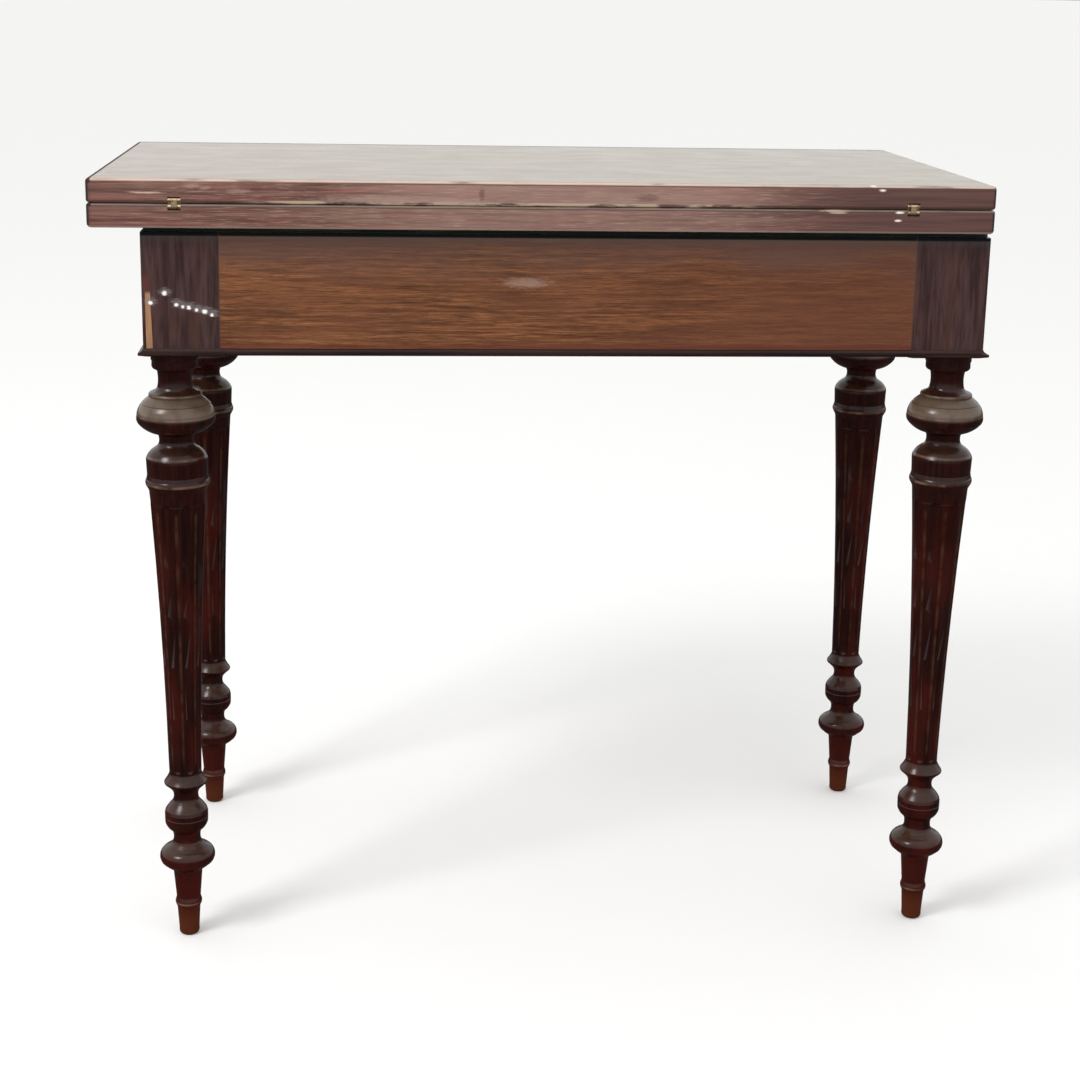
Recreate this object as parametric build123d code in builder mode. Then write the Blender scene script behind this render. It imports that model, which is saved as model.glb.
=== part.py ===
"""Folding card table with a swivelling, double-leaf top on four turned and fluted legs.

All sizes are in millimetres. +Z is up, the long side runs along X and the hinged edge faces -Y.
The origin lies on the floor, under the centre of the whole table's outline.
"""

import os

from build123d import *

os.makedirs("parts", exist_ok=True)

# Overall sizes of the table
table_height = 762.0
leaf_length = 840.0
leaf_depth = leaf_length / 2
frame_length = 797.0
frame_depth = 386.0
frame_shift = 24.0

# Leaves
leaf_thickness = 22.2
leaf_gap = 0.4
leaf_corner_radius = 5.0
leaf_arris_radius = 3.6

# Baize let into the inner face of each leaf
baize_border = 48.0
baize_corner_radius = 6.0
baize_recess = 1.0
baize_thickness = 0.9
baize_clearance = 0.3

# Cloth strips that the top glides on
glide_thickness = 5.2
glide_width = 16.0
glide_inset = 3.0
slide_clearance = 0.3

# Frame: rails between corner posts, faced with veneer
apron_height = 107.8
post_size = 71.0
post_arris_radius = 1.6
rail_thickness = 20.0
veneer_thickness = 1.2
tenon_length = 25.0
tenon_height = 70.0
tenon_thickness = 9.0
joint_clearance = 0.1

# Bead under each rail and moulded cap under each post
bead_height = 7.0
bead_depth = 15.0
bead_projection = 1.6
bead_nose_share = 0.45
cap_height = 8.4
cap_projection = 4.5
cap_edge_height = 2.4
cap_hollow_height = 3.8
cap_hollow_sag = 0.7
cap_under_run = 7.5

# Legs: a turned head, a fluted taper and a turned foot
leg_inset = 26.0
dowel_radius = 12.5
dowel_length = 45.0
head_height = 132.9
foot_height = 174.0
bulb_radius = 37.2
foot_ring_radius = 27.2
taper_top_radius = 27.2
taper_bottom_radius = 15.8
taper_hollow = 1.9
flute_count = 8
flute_radius = 7.0
flute_top_margin = 16.5
flute_bottom_margin = 5.6
flute_top_depth = 2.9
flute_middle_depth = 1.7
flute_bottom_depth = 1.1

# Pivot of the top
pivot_rail_width = 84.0
pivot_rail_thickness = 22.0
housing_depth = 8.0
stud_radius = 6.0
stud_head_radius = 10.0
stud_head_thickness = 2.0
stud_tail = 2.0
stud_fit = 0.02
stud_clearance = 0.08
stud_bore_clearance = 1.0
bearing_plate_size = 64.0
pivot_plate_size = 74.0
plate_thickness = 3.0
plate_corner_radius = 4.0
plate_screw_inset = 11.0
thrust_washer_radius = 15.0
lower_washer_radius = 15.0
lower_washer_thickness = 2.5
nut_radius = 11.0
nut_thickness = 8.0
stop_size = 12.0
stop_room_share = 0.33
stop_length = 20.0
stop_clearance = 0.3

# Card well
partition_offset = 15.0
partition_thickness = 10.0
partition_housing = 5.0
batten_size = 12.0
floor_thickness = 8.0
floor_clearance = 0.3
lining_thickness = 0.8
lining_margin = 1.0

# Double-pin hinges
pin_depth = 2.8
pin_radius = 1.0
pin_fit = 0.02
pin_clearance = 0.05
knuckle_inset = 0.2
lug_width = 3.0
link_width = 5.0
link_clearance = 0.3
pocket_clearance = 0.4
hinge_end_distance = 79.0
hinge_plate_length = 30.0
hinge_plate_depth = 34.0
hinge_plate_thickness = 2.0
hinge_screw_pitch = 18.0
hinge_screw_setback = 10.0

# Countersunk wood screws
screw_head_radius = 3.4
screw_head_height = 2.0
screw_shank_radius = 1.7
screw_length = 13.0
screw_clearance = 0.05

# Cutting tools run past the surface by this much
overrun = 20.0

# Heights of the main surfaces, from the top down
upper_leaf_bottom = table_height - leaf_thickness
lower_leaf_top = upper_leaf_bottom - leaf_gap
leaf_underside = lower_leaf_top - leaf_thickness
glide_top = leaf_underside - slide_clearance
frame_top = glide_top - glide_thickness
apron_bottom = frame_top - apron_height
leg_top = apron_bottom - cap_height
taper_top = leg_top - head_height
taper_bottom = foot_height

# Places across the table: the outline of top and frame together is centred on x = 0
top_centre_x = (leaf_length / 2 - frame_shift - frame_length / 2 - cap_projection) / 2
frame_centre_x = top_centre_x + frame_shift
fold_line = (leaf_depth + leaf_gap) / 2
pivot_x = (frame_centre_x + top_centre_x - fold_line) / 2
pivot_y = (frame_centre_x - top_centre_x - fold_line) / 2
rail_inner_x = frame_length / 2 - veneer_thickness - rail_thickness
rail_inner_y = frame_depth / 2 - veneer_thickness - rail_thickness
apron_span_x = frame_length - 2 * post_size
apron_span_y = frame_depth - 2 * post_size
leg_reach_x = frame_length / 2 - leg_inset
leg_reach_y = frame_depth / 2 - leg_inset
post_reach_x = (frame_length - post_size) / 2
post_reach_y = (frame_depth - post_size) / 2
pin_y = -leaf_depth / 2 + pin_depth
knuckle_radius = pin_depth - knuckle_inset
knuckle_width = 2 * lug_width + 2 * link_clearance + link_width
pocket_reach = knuckle_radius + pocket_clearance
hinge_places = {
    "left": top_centre_x - leaf_length / 2 + hinge_end_distance,
    "right": top_centre_x + leaf_length / 2 - hinge_end_distance,
}
corners = {
    "front_left": (-1, -1),
    "front_right": (1, -1),
    "back_left": (-1, 1),
    "back_right": (1, 1),
}
lower_fold_plane = Plane.XY.offset(lower_leaf_top)
seam_plane = Plane.XY.offset(lower_leaf_top + leaf_gap / 2)


def keep(piece, name):
    """Label a finished piece and write it to its file."""
    piece.part.label = name
    export_step(piece.part, f"parts/{name}.step")


# Turned outlines. Each row ends at (height share, radius share), and a row of four is an arc that passes
# through its first pair.
# The head runs down from the cap, in shares of head_height above the taper and of bulb_radius.
head_shares = [
    (0.955, 0.597),
    (0.945, 0.577),
    (0.911, 0.580),
    (0.898, 0.567, 0.886, 0.505),
    (0.876, 0.450),
    (0.819, 0.426, 0.756, 0.450),
    (0.734, 0.505, 0.720, 0.600),
    (0.716, 0.645),
    (0.702, 0.676, 0.688, 0.662),
    (0.685, 0.680),
    (0.667, 0.766, 0.641, 0.860),
    (0.638, 0.850),
    (0.634, 0.880),
    (0.596, 0.958, 0.550, 0.992),
    (0.524, 1.000, 0.500, 0.972),
    (0.467, 0.862, 0.421, 0.520),
    (0.408, 0.462),
    (0.376, 0.440, 0.343, 0.456),
    (0.321, 0.512, 0.309, 0.580),
    (0.306, 0.596),
    (0.274, 0.716, 0.241, 0.782),
    (0.225, 0.788),
    (0.142, 0.776),
    (0.116, 0.772),
    (0.087, 0.792),
    (0.060, 0.820, 0.033, 0.788),
    (0.012, 0.748),
]
# The foot runs down from the taper to the floor, in shares of foot_height and of foot_ring_radius.
foot_shares = [
    (0.992, 0.596),
    (0.968, 0.673, 0.948, 0.760),
    (0.940, 0.775, 0.932, 0.750),
    (0.913, 0.610, 0.894, 0.500),
    (0.868, 0.445, 0.833, 0.475),
    (0.819, 0.533),
    (0.805, 0.618, 0.776, 0.750),
    (0.759, 0.780),
    (0.736, 0.783),
    (0.731, 0.770),
    (0.726, 0.783),
    (0.698, 0.775),
    (0.675, 0.713, 0.652, 0.575),
    (0.641, 0.520),
    (0.615, 0.485, 0.583, 0.505),
    (0.571, 0.540),
    (0.555, 0.650),
    (0.542, 0.765),
    (0.494, 1.000, 0.454, 0.925),
    (0.431, 0.757),
    (0.411, 0.575),
    (0.398, 0.525),
    (0.233, 0.438),
    (0.218, 0.464),
    (0.200, 0.485, 0.184, 0.456),
    (0.171, 0.418),
    (0.029, 0.364),
    (0.008, 0.338, 0.000, 0.272),
]


def turned_outline(start, rows, base, height, radius):
    """Draw lines and arcs down a turned outline and give its last point."""
    here = start
    for row in rows:
        end = (row[-1] * radius, base + row[-2] * height)
        if len(row) > 2:
            ThreePointArc(here, (row[1] * radius, base + row[0] * height), end)
        else:
            Line(here, end)
        here = end
    return here


def taper_radius(height):
    """Radius of the slightly hollow tapered shaft at a height above the floor."""
    share = (height - taper_bottom) / (taper_top - taper_bottom)
    straight = taper_bottom_radius + share * (taper_top_radius - taper_bottom_radius)
    return straight - 4 * share * (1 - share) * taper_hollow


# One flute is a round bar with ball ends, bent to the hollow of the shaft and sunk deepest at the top
flute_top = taper_top - flute_top_margin
flute_bottom = taper_bottom + flute_bottom_margin
flute_middle = (flute_top + flute_bottom) / 2
flute_places = [
    (taper_radius(height) + flute_radius - depth, 0, height)
    for height, depth in (
        (flute_top, flute_top_depth),
        (flute_middle, flute_middle_depth),
        (flute_bottom, flute_bottom_depth),
    )
]

with BuildPart() as flute:
    with BuildLine():
        bar = ThreePointArc(*flute_places)
    with BuildSketch(Plane(origin=bar @ 0, z_dir=bar % 0)):
        Circle(flute_radius)
    sweep()
    with Locations(bar @ 0, bar @ 1):
        Sphere(flute_radius)

with BuildPart() as turned_leg:
    with BuildSketch(Plane.XZ):
        with BuildLine():
            head_start = (head_shares[0][-1] * bulb_radius, leg_top)
            Line((0, leg_top), head_start)
            head_end = turned_outline(head_start, head_shares, taper_top, head_height, bulb_radius)
            shaft_top = (taper_top_radius, taper_top)
            shaft_middle_z = (taper_top + taper_bottom) / 2
            Line(head_end, shaft_top)
            foot_start = (taper_bottom_radius, taper_bottom)
            ThreePointArc(shaft_top, (taper_radius(shaft_middle_z), shaft_middle_z), foot_start)
            foot_end = turned_outline(foot_start, foot_shares, 0, foot_height, foot_ring_radius)
            Polyline(foot_end, (0, 0), (0, leg_top))
        make_face()
    revolve(axis=Axis.Z)
    with PolarLocations(0, flute_count, start_angle=180 / flute_count):
        add(flute.part, mode=Mode.SUBTRACT)
    with BuildSketch(Plane.XY.offset(leg_top)):
        Circle(dowel_radius)
    extrude(amount=cap_height + dowel_length)

# The moulded cap is the same section carried round a square, mitred at the corners
cap_half = post_size / 2 + cap_projection
cap_edge_top = apron_bottom - cap_hollow_height
with BuildPart() as moulded_cap:
    for plane, mode in ((Plane.XZ, Mode.ADD), (Plane.YZ, Mode.INTERSECT)):
        with BuildSketch(plane):
            with BuildLine():
                hollow_middle_x = post_size / 2 + cap_projection / 2 - cap_hollow_sag
                hollow_middle_z = apron_bottom - cap_hollow_height / 2 - cap_hollow_sag
                Line((0, apron_bottom), (post_size / 2, apron_bottom))
                ThreePointArc(
                    (post_size / 2, apron_bottom),
                    (hollow_middle_x, hollow_middle_z),
                    (cap_half, cap_edge_top),
                )
                Polyline(
                    (cap_half, cap_edge_top),
                    (cap_half, cap_edge_top - cap_edge_height),
                    (cap_half - cap_under_run, leg_top),
                    (0, leg_top),
                )
                mirror(about=Plane.YZ)
            make_face()
        extrude(amount=cap_half, both=True, mode=mode)

for corner, (side_x, side_y) in corners.items():
    leg_x = frame_centre_x + side_x * leg_reach_x
    leg_y = side_y * leg_reach_y
    post_x = frame_centre_x + side_x * post_reach_x
    post_y = side_y * post_reach_y

    with BuildPart() as leg:
        with Locations((leg_x, leg_y, 0)):
            add(turned_leg.part)
    keep(leg, f"leg_{corner}")

    with BuildPart() as cap:
        with Locations((post_x, post_y, 0)):
            add(moulded_cap.part)
        with BuildSketch(Plane.XY.offset(leg_top)):
            with Locations((leg_x, leg_y)):
                Circle(dowel_radius + joint_clearance)
        extrude(amount=cap_height, mode=Mode.SUBTRACT)
    keep(cap, f"cap_{corner}")

    # The mortises open on the two inner faces of the post
    tenon_centre = veneer_thickness + rail_thickness / 2
    mortise_depth = tenon_length + joint_clearance
    mortise_thickness = tenon_thickness + 2 * joint_clearance
    mortise_height = tenon_height + 2 * joint_clearance
    tenon_middle = apron_bottom + apron_height / 2
    front_mortise_x = frame_centre_x + side_x * (frame_length / 2 - post_size + mortise_depth / 2)
    front_mortise_y = side_y * (frame_depth / 2 - tenon_centre)
    side_mortise_x = frame_centre_x + side_x * (frame_length / 2 - tenon_centre)
    side_mortise_y = side_y * (frame_depth / 2 - post_size + mortise_depth / 2)
    with BuildPart() as post:
        with BuildSketch(Plane.XY.offset(apron_bottom)):
            with Locations((post_x, post_y)):
                Rectangle(post_size, post_size)
        extrude(amount=apron_height)
        upright_edges = post.edges().filter_by(Axis.Z)
        outer_edge = upright_edges.sort_by(lambda e: side_x * e.center().X + side_y * e.center().Y)[-1]
        fillet(outer_edge, post_arris_radius)
        with BuildSketch(Plane.XY.offset(tenon_middle)):
            with Locations((front_mortise_x, front_mortise_y)):
                Rectangle(mortise_depth, mortise_thickness)
            with Locations((side_mortise_x, side_mortise_y)):
                Rectangle(mortise_thickness, mortise_depth)
        extrude(amount=mortise_height / 2, both=True, mode=Mode.SUBTRACT)
        with BuildSketch(Plane.XY.offset(apron_bottom)):
            with Locations((leg_x, leg_y)):
                Circle(dowel_radius + joint_clearance)
        extrude(amount=dowel_length + joint_clearance, mode=Mode.SUBTRACT)
    keep(post, f"post_{corner}")

# Long rails at front and back, with housings for the pivot rail and the partition
partition_x = frame_centre_x - partition_offset
for name, side_y in (("front", -1), ("back", 1)):
    rail_y = side_y * (frame_depth / 2 - veneer_thickness - rail_thickness / 2)
    inner_face_y = side_y * rail_inner_y

    with BuildPart() as rail:
        with BuildSketch(Plane.XY.offset(apron_bottom)):
            with Locations((frame_centre_x, rail_y)):
                Rectangle(apron_span_x, rail_thickness)
        extrude(amount=apron_height)
        with BuildSketch(Plane.XY.offset(apron_bottom + apron_height / 2)):
            with Locations((frame_centre_x, rail_y)):
                Rectangle(apron_span_x + 2 * tenon_length, tenon_thickness)
        extrude(amount=tenon_height / 2, both=True)
        with BuildSketch(Plane.XY.offset(frame_top)):
            with Locations((pivot_x, inner_face_y)):
                Rectangle(pivot_rail_width + 2 * joint_clearance, 2 * housing_depth)
        extrude(amount=-pivot_rail_thickness, mode=Mode.SUBTRACT)
        with BuildSketch(Plane.XY.offset(apron_bottom)):
            with Locations((partition_x, inner_face_y)):
                Rectangle(partition_thickness + 2 * joint_clearance, 2 * partition_housing)
        extrude(amount=apron_height, mode=Mode.SUBTRACT)
    keep(rail, f"rail_{name}")

    with BuildPart() as veneer:
        with BuildSketch(Plane.XY.offset(apron_bottom)):
            with Locations((frame_centre_x, side_y * (frame_depth - veneer_thickness) / 2)):
                Rectangle(apron_span_x, veneer_thickness)
        extrude(amount=apron_height)
    keep(veneer, f"veneer_{name}")

    bead_y = side_y * (frame_depth / 2 + bead_projection - bead_depth / 2)
    with BuildPart() as bead:
        with BuildSketch(Plane.XY.offset(apron_bottom - bead_height)):
            with Locations((frame_centre_x, bead_y)):
                Rectangle(apron_span_x, bead_depth)
        extrude(amount=bead_height)
        nose_edges = bead.edges().filter_by(Axis.X).sort_by(lambda e: side_y * e.center().Y)[-2:]
        fillet(nose_edges, bead_nose_share * bead_height)
        # Its ends are scribed to the moulding of the caps
        for side_x in (-1, 1):
            with Locations((frame_centre_x + side_x * post_reach_x, side_y * post_reach_y, 0)):
                add(moulded_cap.part, mode=Mode.SUBTRACT)
    keep(bead, f"bead_{name}")

    glide_y = side_y * (frame_depth / 2 - glide_inset - glide_width / 2)
    with BuildPart() as glide:
        with BuildSketch(Plane.XY.offset(frame_top)):
            with Locations((frame_centre_x, glide_y)):
                Rectangle(frame_length - 2 * glide_inset, glide_width)
        extrude(amount=glide_thickness)
    keep(glide, f"glide_{name}")

# Short rails at the two ends
for name, side_x in (("left", -1), ("right", 1)):
    rail_x = frame_centre_x + side_x * (frame_length / 2 - veneer_thickness - rail_thickness / 2)

    with BuildPart() as rail:
        with BuildSketch(Plane.XY.offset(apron_bottom)):
            with Locations((rail_x, 0)):
                Rectangle(rail_thickness, apron_span_y)
        extrude(amount=apron_height)
        with BuildSketch(Plane.XY.offset(apron_bottom + apron_height / 2)):
            with Locations((rail_x, 0)):
                Rectangle(tenon_thickness, apron_span_y + 2 * tenon_length)
        extrude(amount=tenon_height / 2, both=True)
    keep(rail, f"rail_{name}")

    with BuildPart() as veneer:
        with BuildSketch(Plane.XY.offset(apron_bottom)):
            with Locations((frame_centre_x + side_x * (frame_length - veneer_thickness) / 2, 0)):
                Rectangle(veneer_thickness, apron_span_y)
        extrude(amount=apron_height)
    keep(veneer, f"veneer_{name}")

    bead_x = frame_centre_x + side_x * (frame_length / 2 + bead_projection - bead_depth / 2)
    with BuildPart() as bead:
        with BuildSketch(Plane.XY.offset(apron_bottom - bead_height)):
            with Locations((bead_x, 0)):
                Rectangle(bead_depth, apron_span_y)
        extrude(amount=bead_height)
        nose_edges = bead.edges().filter_by(Axis.Y).sort_by(lambda e: side_x * e.center().X)[-2:]
        fillet(nose_edges, bead_nose_share * bead_height)
        for side_y in (-1, 1):
            with Locations((frame_centre_x + side_x * post_reach_x, side_y * post_reach_y, 0)):
                add(moulded_cap.part, mode=Mode.SUBTRACT)
    keep(bead, f"bead_{name}")

    glide_x = frame_centre_x + side_x * (frame_length / 2 - glide_inset - glide_width / 2)
    with BuildPart() as glide:
        with BuildSketch(Plane.XY.offset(frame_top)):
            with Locations((glide_x, 0)):
                Rectangle(glide_width, frame_depth - 2 * glide_inset - 2 * glide_width)
        extrude(amount=glide_thickness)
    keep(glide, f"glide_{name}")


def plate_screw_spots(plate_size):
    """Centres of the four screws of a square plate on the pivot."""
    reach = plate_size / 2 - plate_screw_inset
    return [(pivot_x + side_x * reach, pivot_y + side_y * reach) for side_x, side_y in corners.values()]


def screw_form(growth):
    """Countersunk screw hanging down from the origin, grown on its sides and tip for a hole."""
    with BuildPart() as screw:
        with BuildSketch(Plane.XZ):
            with BuildLine():
                Polyline(
                    (0, 0),
                    (screw_head_radius + growth, 0),
                    (screw_shank_radius + growth, -screw_head_height),
                    (screw_shank_radius + growth, -screw_length - growth),
                    (0, -screw_length - growth),
                    close=True,
                )
            make_face()
        revolve(axis=Axis.Z)
    return screw.part


screw_solid = screw_form(0)
screw_hole = screw_form(screw_clearance)

# Pivot rail and what is let into it
bearing_screw_places = [Location((x, y, frame_top)) for x, y in plate_screw_spots(bearing_plate_size)]
pivot_rail_bottom = frame_top - pivot_rail_thickness

with BuildPart() as pivot_rail:
    with BuildSketch(Plane.XY.offset(frame_top)):
        with Locations((pivot_x, 0)):
            Rectangle(pivot_rail_width, 2 * (rail_inner_y + housing_depth - joint_clearance))
    extrude(amount=-pivot_rail_thickness)
    with BuildSketch(Plane.XY.offset(frame_top)):
        with Locations((pivot_x, pivot_y)):
            Rectangle(bearing_plate_size + 2 * joint_clearance, bearing_plate_size + 2 * joint_clearance)
    extrude(amount=-plate_thickness, mode=Mode.SUBTRACT)
    with BuildSketch(Plane.XY.offset(frame_top)):
        with Locations((pivot_x, pivot_y)):
            Circle(stud_radius + stud_bore_clearance)
    extrude(amount=-pivot_rail_thickness, mode=Mode.SUBTRACT)
    with Locations(*bearing_screw_places):
        add(screw_hole, mode=Mode.SUBTRACT)
keep(pivot_rail, "pivot_rail")

with BuildPart() as bearing_plate:
    with BuildSketch(Plane.XY.offset(frame_top)):
        with Locations((pivot_x, pivot_y)):
            RectangleRounded(bearing_plate_size, bearing_plate_size, plate_corner_radius)
            Circle(stud_radius + stud_clearance, mode=Mode.SUBTRACT)
    extrude(amount=-plate_thickness)
    with Locations(*bearing_screw_places):
        add(screw_hole, mode=Mode.SUBTRACT)
keep(bearing_plate, "bearing_plate")

with BuildPart() as bearing_plate_screws:
    with Locations(*bearing_screw_places):
        add(screw_solid)
keep(bearing_plate_screws, "bearing_plate_screws")

with BuildPart() as thrust_washer:
    with BuildSketch(Plane.XY.offset(frame_top)):
        with Locations((pivot_x, pivot_y)):
            Circle(thrust_washer_radius)
            Circle(stud_radius + slide_clearance, mode=Mode.SUBTRACT)
    extrude(amount=glide_thickness)
keep(thrust_washer, "thrust_washer")

# Card well in the end of the frame that the turned top uncovers
partition_face = partition_x + partition_thickness / 2
well_end = frame_centre_x + rail_inner_x
post_inner_x = frame_centre_x + apron_span_x / 2
floor_bottom = apron_bottom + batten_size
floor_top = floor_bottom + floor_thickness

with BuildPart() as well_partition:
    with BuildSketch(Plane.XY.offset(apron_bottom)):
        with Locations((partition_x, 0)):
            Rectangle(partition_thickness, 2 * (rail_inner_y + partition_housing - joint_clearance))
    extrude(amount=apron_height)
keep(well_partition, "well_partition")


def well_sheet(inset, bottom, thickness):
    """Panel that fills the well, notched round the two corner posts, drawn in by inset all round."""
    with BuildPart() as panel:
        with BuildSketch(Plane.XY.offset(bottom)):
            with Locations(((partition_face + well_end) / 2, 0)):
                Rectangle(well_end - partition_face - 2 * inset, 2 * (rail_inner_y - inset))
            for side_y in (-1, 1):
                with Locations((well_end, side_y * rail_inner_y)):
                    Rectangle(
                        2 * (well_end - post_inner_x + inset),
                        2 * (rail_inner_y - apron_span_y / 2 + inset),
                        mode=Mode.SUBTRACT,
                    )
        extrude(amount=thickness)
    return panel


well_floor = well_sheet(floor_clearance, floor_bottom, floor_thickness)
keep(well_floor, "well_floor")
well_lining = well_sheet(floor_clearance + lining_margin, floor_top, lining_thickness)
keep(well_lining, "well_lining")

batten_run = post_inner_x - partition_face - 2 * floor_clearance
for name, side_y in (("front", -1), ("back", 1)):
    batten_x = (post_inner_x + partition_face) / 2
    batten_y = side_y * (rail_inner_y - batten_size / 2)
    with BuildPart() as batten:
        with BuildSketch(Plane.XY.offset(apron_bottom)):
            with Locations((batten_x, batten_y)):
                Rectangle(batten_run, batten_size)
        extrude(amount=batten_size)
    keep(batten, f"floor_batten_{name}")

with BuildPart() as floor_batten_end:
    with BuildSketch(Plane.XY.offset(apron_bottom)):
        with Locations((well_end - batten_size / 2, 0)):
            Rectangle(batten_size, apron_span_y - 2 * floor_clearance)
    extrude(amount=batten_size)
keep(floor_batten_end, "floor_batten_end")

# What turns with the top under the lower leaf
pivot_screw_places = [
    Location((x, y, leaf_underside), (180, 0, 0)) for x, y in plate_screw_spots(pivot_plate_size)
]
plate_top = leaf_underside + plate_thickness
lower_washer_top = pivot_rail_bottom - slide_clearance
nut_top = lower_washer_top - lower_washer_thickness
stud_bottom = nut_top - nut_thickness - stud_tail

with BuildPart() as pivot_plate:
    with BuildSketch(Plane.XY.offset(leaf_underside)):
        with Locations((pivot_x, pivot_y)):
            RectangleRounded(pivot_plate_size, pivot_plate_size, plate_corner_radius)
            Circle(stud_radius + stud_fit, mode=Mode.SUBTRACT)
    extrude(amount=plate_thickness)
    with Locations(*pivot_screw_places):
        add(screw_hole, mode=Mode.SUBTRACT)
keep(pivot_plate, "pivot_plate")

with BuildPart() as pivot_plate_screws:
    with Locations(*pivot_screw_places):
        add(screw_solid)
keep(pivot_plate_screws, "pivot_plate_screws")

with BuildPart() as pivot_stud:
    with BuildSketch(Plane.XY.offset(stud_bottom)):
        with Locations((pivot_x, pivot_y)):
            Circle(stud_radius)
    extrude(amount=plate_top - stud_bottom)
    with BuildSketch(Plane.XY.offset(plate_top)):
        with Locations((pivot_x, pivot_y)):
            Circle(stud_head_radius)
    extrude(amount=stud_head_thickness)
keep(pivot_stud, "pivot_stud")

with BuildPart() as lower_washer:
    with BuildSketch(Plane.XY.offset(nut_top)):
        with Locations((pivot_x, pivot_y)):
            Circle(lower_washer_radius)
            Circle(stud_radius + stud_clearance, mode=Mode.SUBTRACT)
    extrude(amount=lower_washer_thickness)
keep(lower_washer, "lower_washer")

with BuildPart() as pivot_nut:
    with BuildSketch(Plane.XY.offset(nut_top)):
        with Locations((pivot_x, pivot_y)):
            RegularPolygon(nut_radius, 6)
            Circle(stud_radius + stud_fit, mode=Mode.SUBTRACT)
    extrude(amount=-nut_thickness)
keep(pivot_nut, "pivot_nut")

# The stop block meets the side of the pivot rail at both ends of the quarter turn, and takes its depth
# from the room between its stop face and the front rail
stop_face = pivot_rail_width / 2 + stop_clearance
stop_depth = stop_room_share * (rail_inner_y + pivot_y - stop_face)
with BuildPart() as stop_block:
    with BuildSketch(Plane.XY.offset(leaf_underside)):
        with Locations((pivot_x + stop_face + stop_size / 2, pivot_y - stop_face - stop_depth / 2)):
            Rectangle(stop_size, stop_depth)
    extrude(amount=-stop_length)
keep(stop_block, "stop_block")

# Hinge plates, drawn for the lower leaf; those of the upper leaf are their mirror image in the seam
pin_z = lower_leaf_top - pin_depth
plate_front = pin_y + pocket_reach


def hinge_screw_places(hinge_x):
    """Places of the three screws of one hinge plate."""
    front_row = plate_front + hinge_screw_setback
    back_row = plate_front + hinge_plate_depth - hinge_screw_setback
    half_pitch = hinge_screw_pitch / 2
    return [
        Location((hinge_x - half_pitch, front_row, lower_leaf_top)),
        Location((hinge_x + half_pitch, front_row, lower_leaf_top)),
        Location((hinge_x, back_row, lower_leaf_top)),
    ]


def hinge_plate_form(hinge_x):
    """Flat plate with two lugs that hold the pin on either side of the link."""
    lug_offset = (link_width + lug_width) / 2 + link_clearance
    with BuildPart() as plate:
        with BuildSketch(lower_fold_plane):
            with Locations((hinge_x, plate_front + hinge_plate_depth / 2)):
                Rectangle(hinge_plate_length, hinge_plate_depth)
            for side in (-1, 1):
                with Locations((hinge_x + side * lug_offset, (pin_y + plate_front) / 2)):
                    Rectangle(lug_width, plate_front - pin_y)
        extrude(amount=-hinge_plate_thickness)
        for side in (-1, 1):
            with BuildSketch(Plane.YZ.offset(hinge_x + side * lug_offset)):
                with Locations((pin_y, pin_z)):
                    Circle(knuckle_radius)
            extrude(amount=lug_width / 2, both=True)
        with BuildSketch(Plane.YZ.offset(hinge_x)):
            with Locations((pin_y, pin_z)):
                Circle(pin_radius + pin_fit)
        extrude(amount=knuckle_width / 2, both=True, mode=Mode.SUBTRACT)
        with Locations(*hinge_screw_places(hinge_x)):
            add(screw_hole, mode=Mode.SUBTRACT)
    return plate


for name, hinge_x in hinge_places.items():
    lower_plate = hinge_plate_form(hinge_x)
    keep(lower_plate, f"hinge_plate_lower_{name}")

    with BuildPart() as upper_plate:
        mirror(lower_plate.part, about=seam_plane)
    keep(upper_plate, f"hinge_plate_upper_{name}")

    link_pitch = 2 * pin_depth + leaf_gap
    with BuildPart() as link:
        with BuildSketch(Plane.YZ.offset(hinge_x)):
            with Locations((pin_y, pin_z + link_pitch / 2)):
                SlotCenterToCenter(link_pitch, 2 * knuckle_radius, rotation=90)
            with Locations((pin_y, pin_z), (pin_y, pin_z + link_pitch)):
                Circle(pin_radius + pin_clearance, mode=Mode.SUBTRACT)
        extrude(amount=link_width / 2, both=True)
    keep(link, f"hinge_link_{name}")

with BuildPart() as hinge_pins_lower:
    for hinge_x in hinge_places.values():
        with BuildSketch(Plane.YZ.offset(hinge_x)):
            with Locations((pin_y, pin_z)):
                Circle(pin_radius)
        extrude(amount=knuckle_width / 2, both=True)
keep(hinge_pins_lower, "hinge_pins_lower")

with BuildPart() as hinge_pins_upper:
    mirror(hinge_pins_lower.part, about=seam_plane)
keep(hinge_pins_upper, "hinge_pins_upper")

with BuildPart() as hinge_screws_lower:
    for hinge_x in hinge_places.values():
        with Locations(*hinge_screw_places(hinge_x)):
            add(screw_solid)
keep(hinge_screws_lower, "hinge_screws_lower")

with BuildPart() as hinge_screws_upper:
    mirror(hinge_screws_lower.part, about=seam_plane)
keep(hinge_screws_upper, "hinge_screws_upper")

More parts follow.
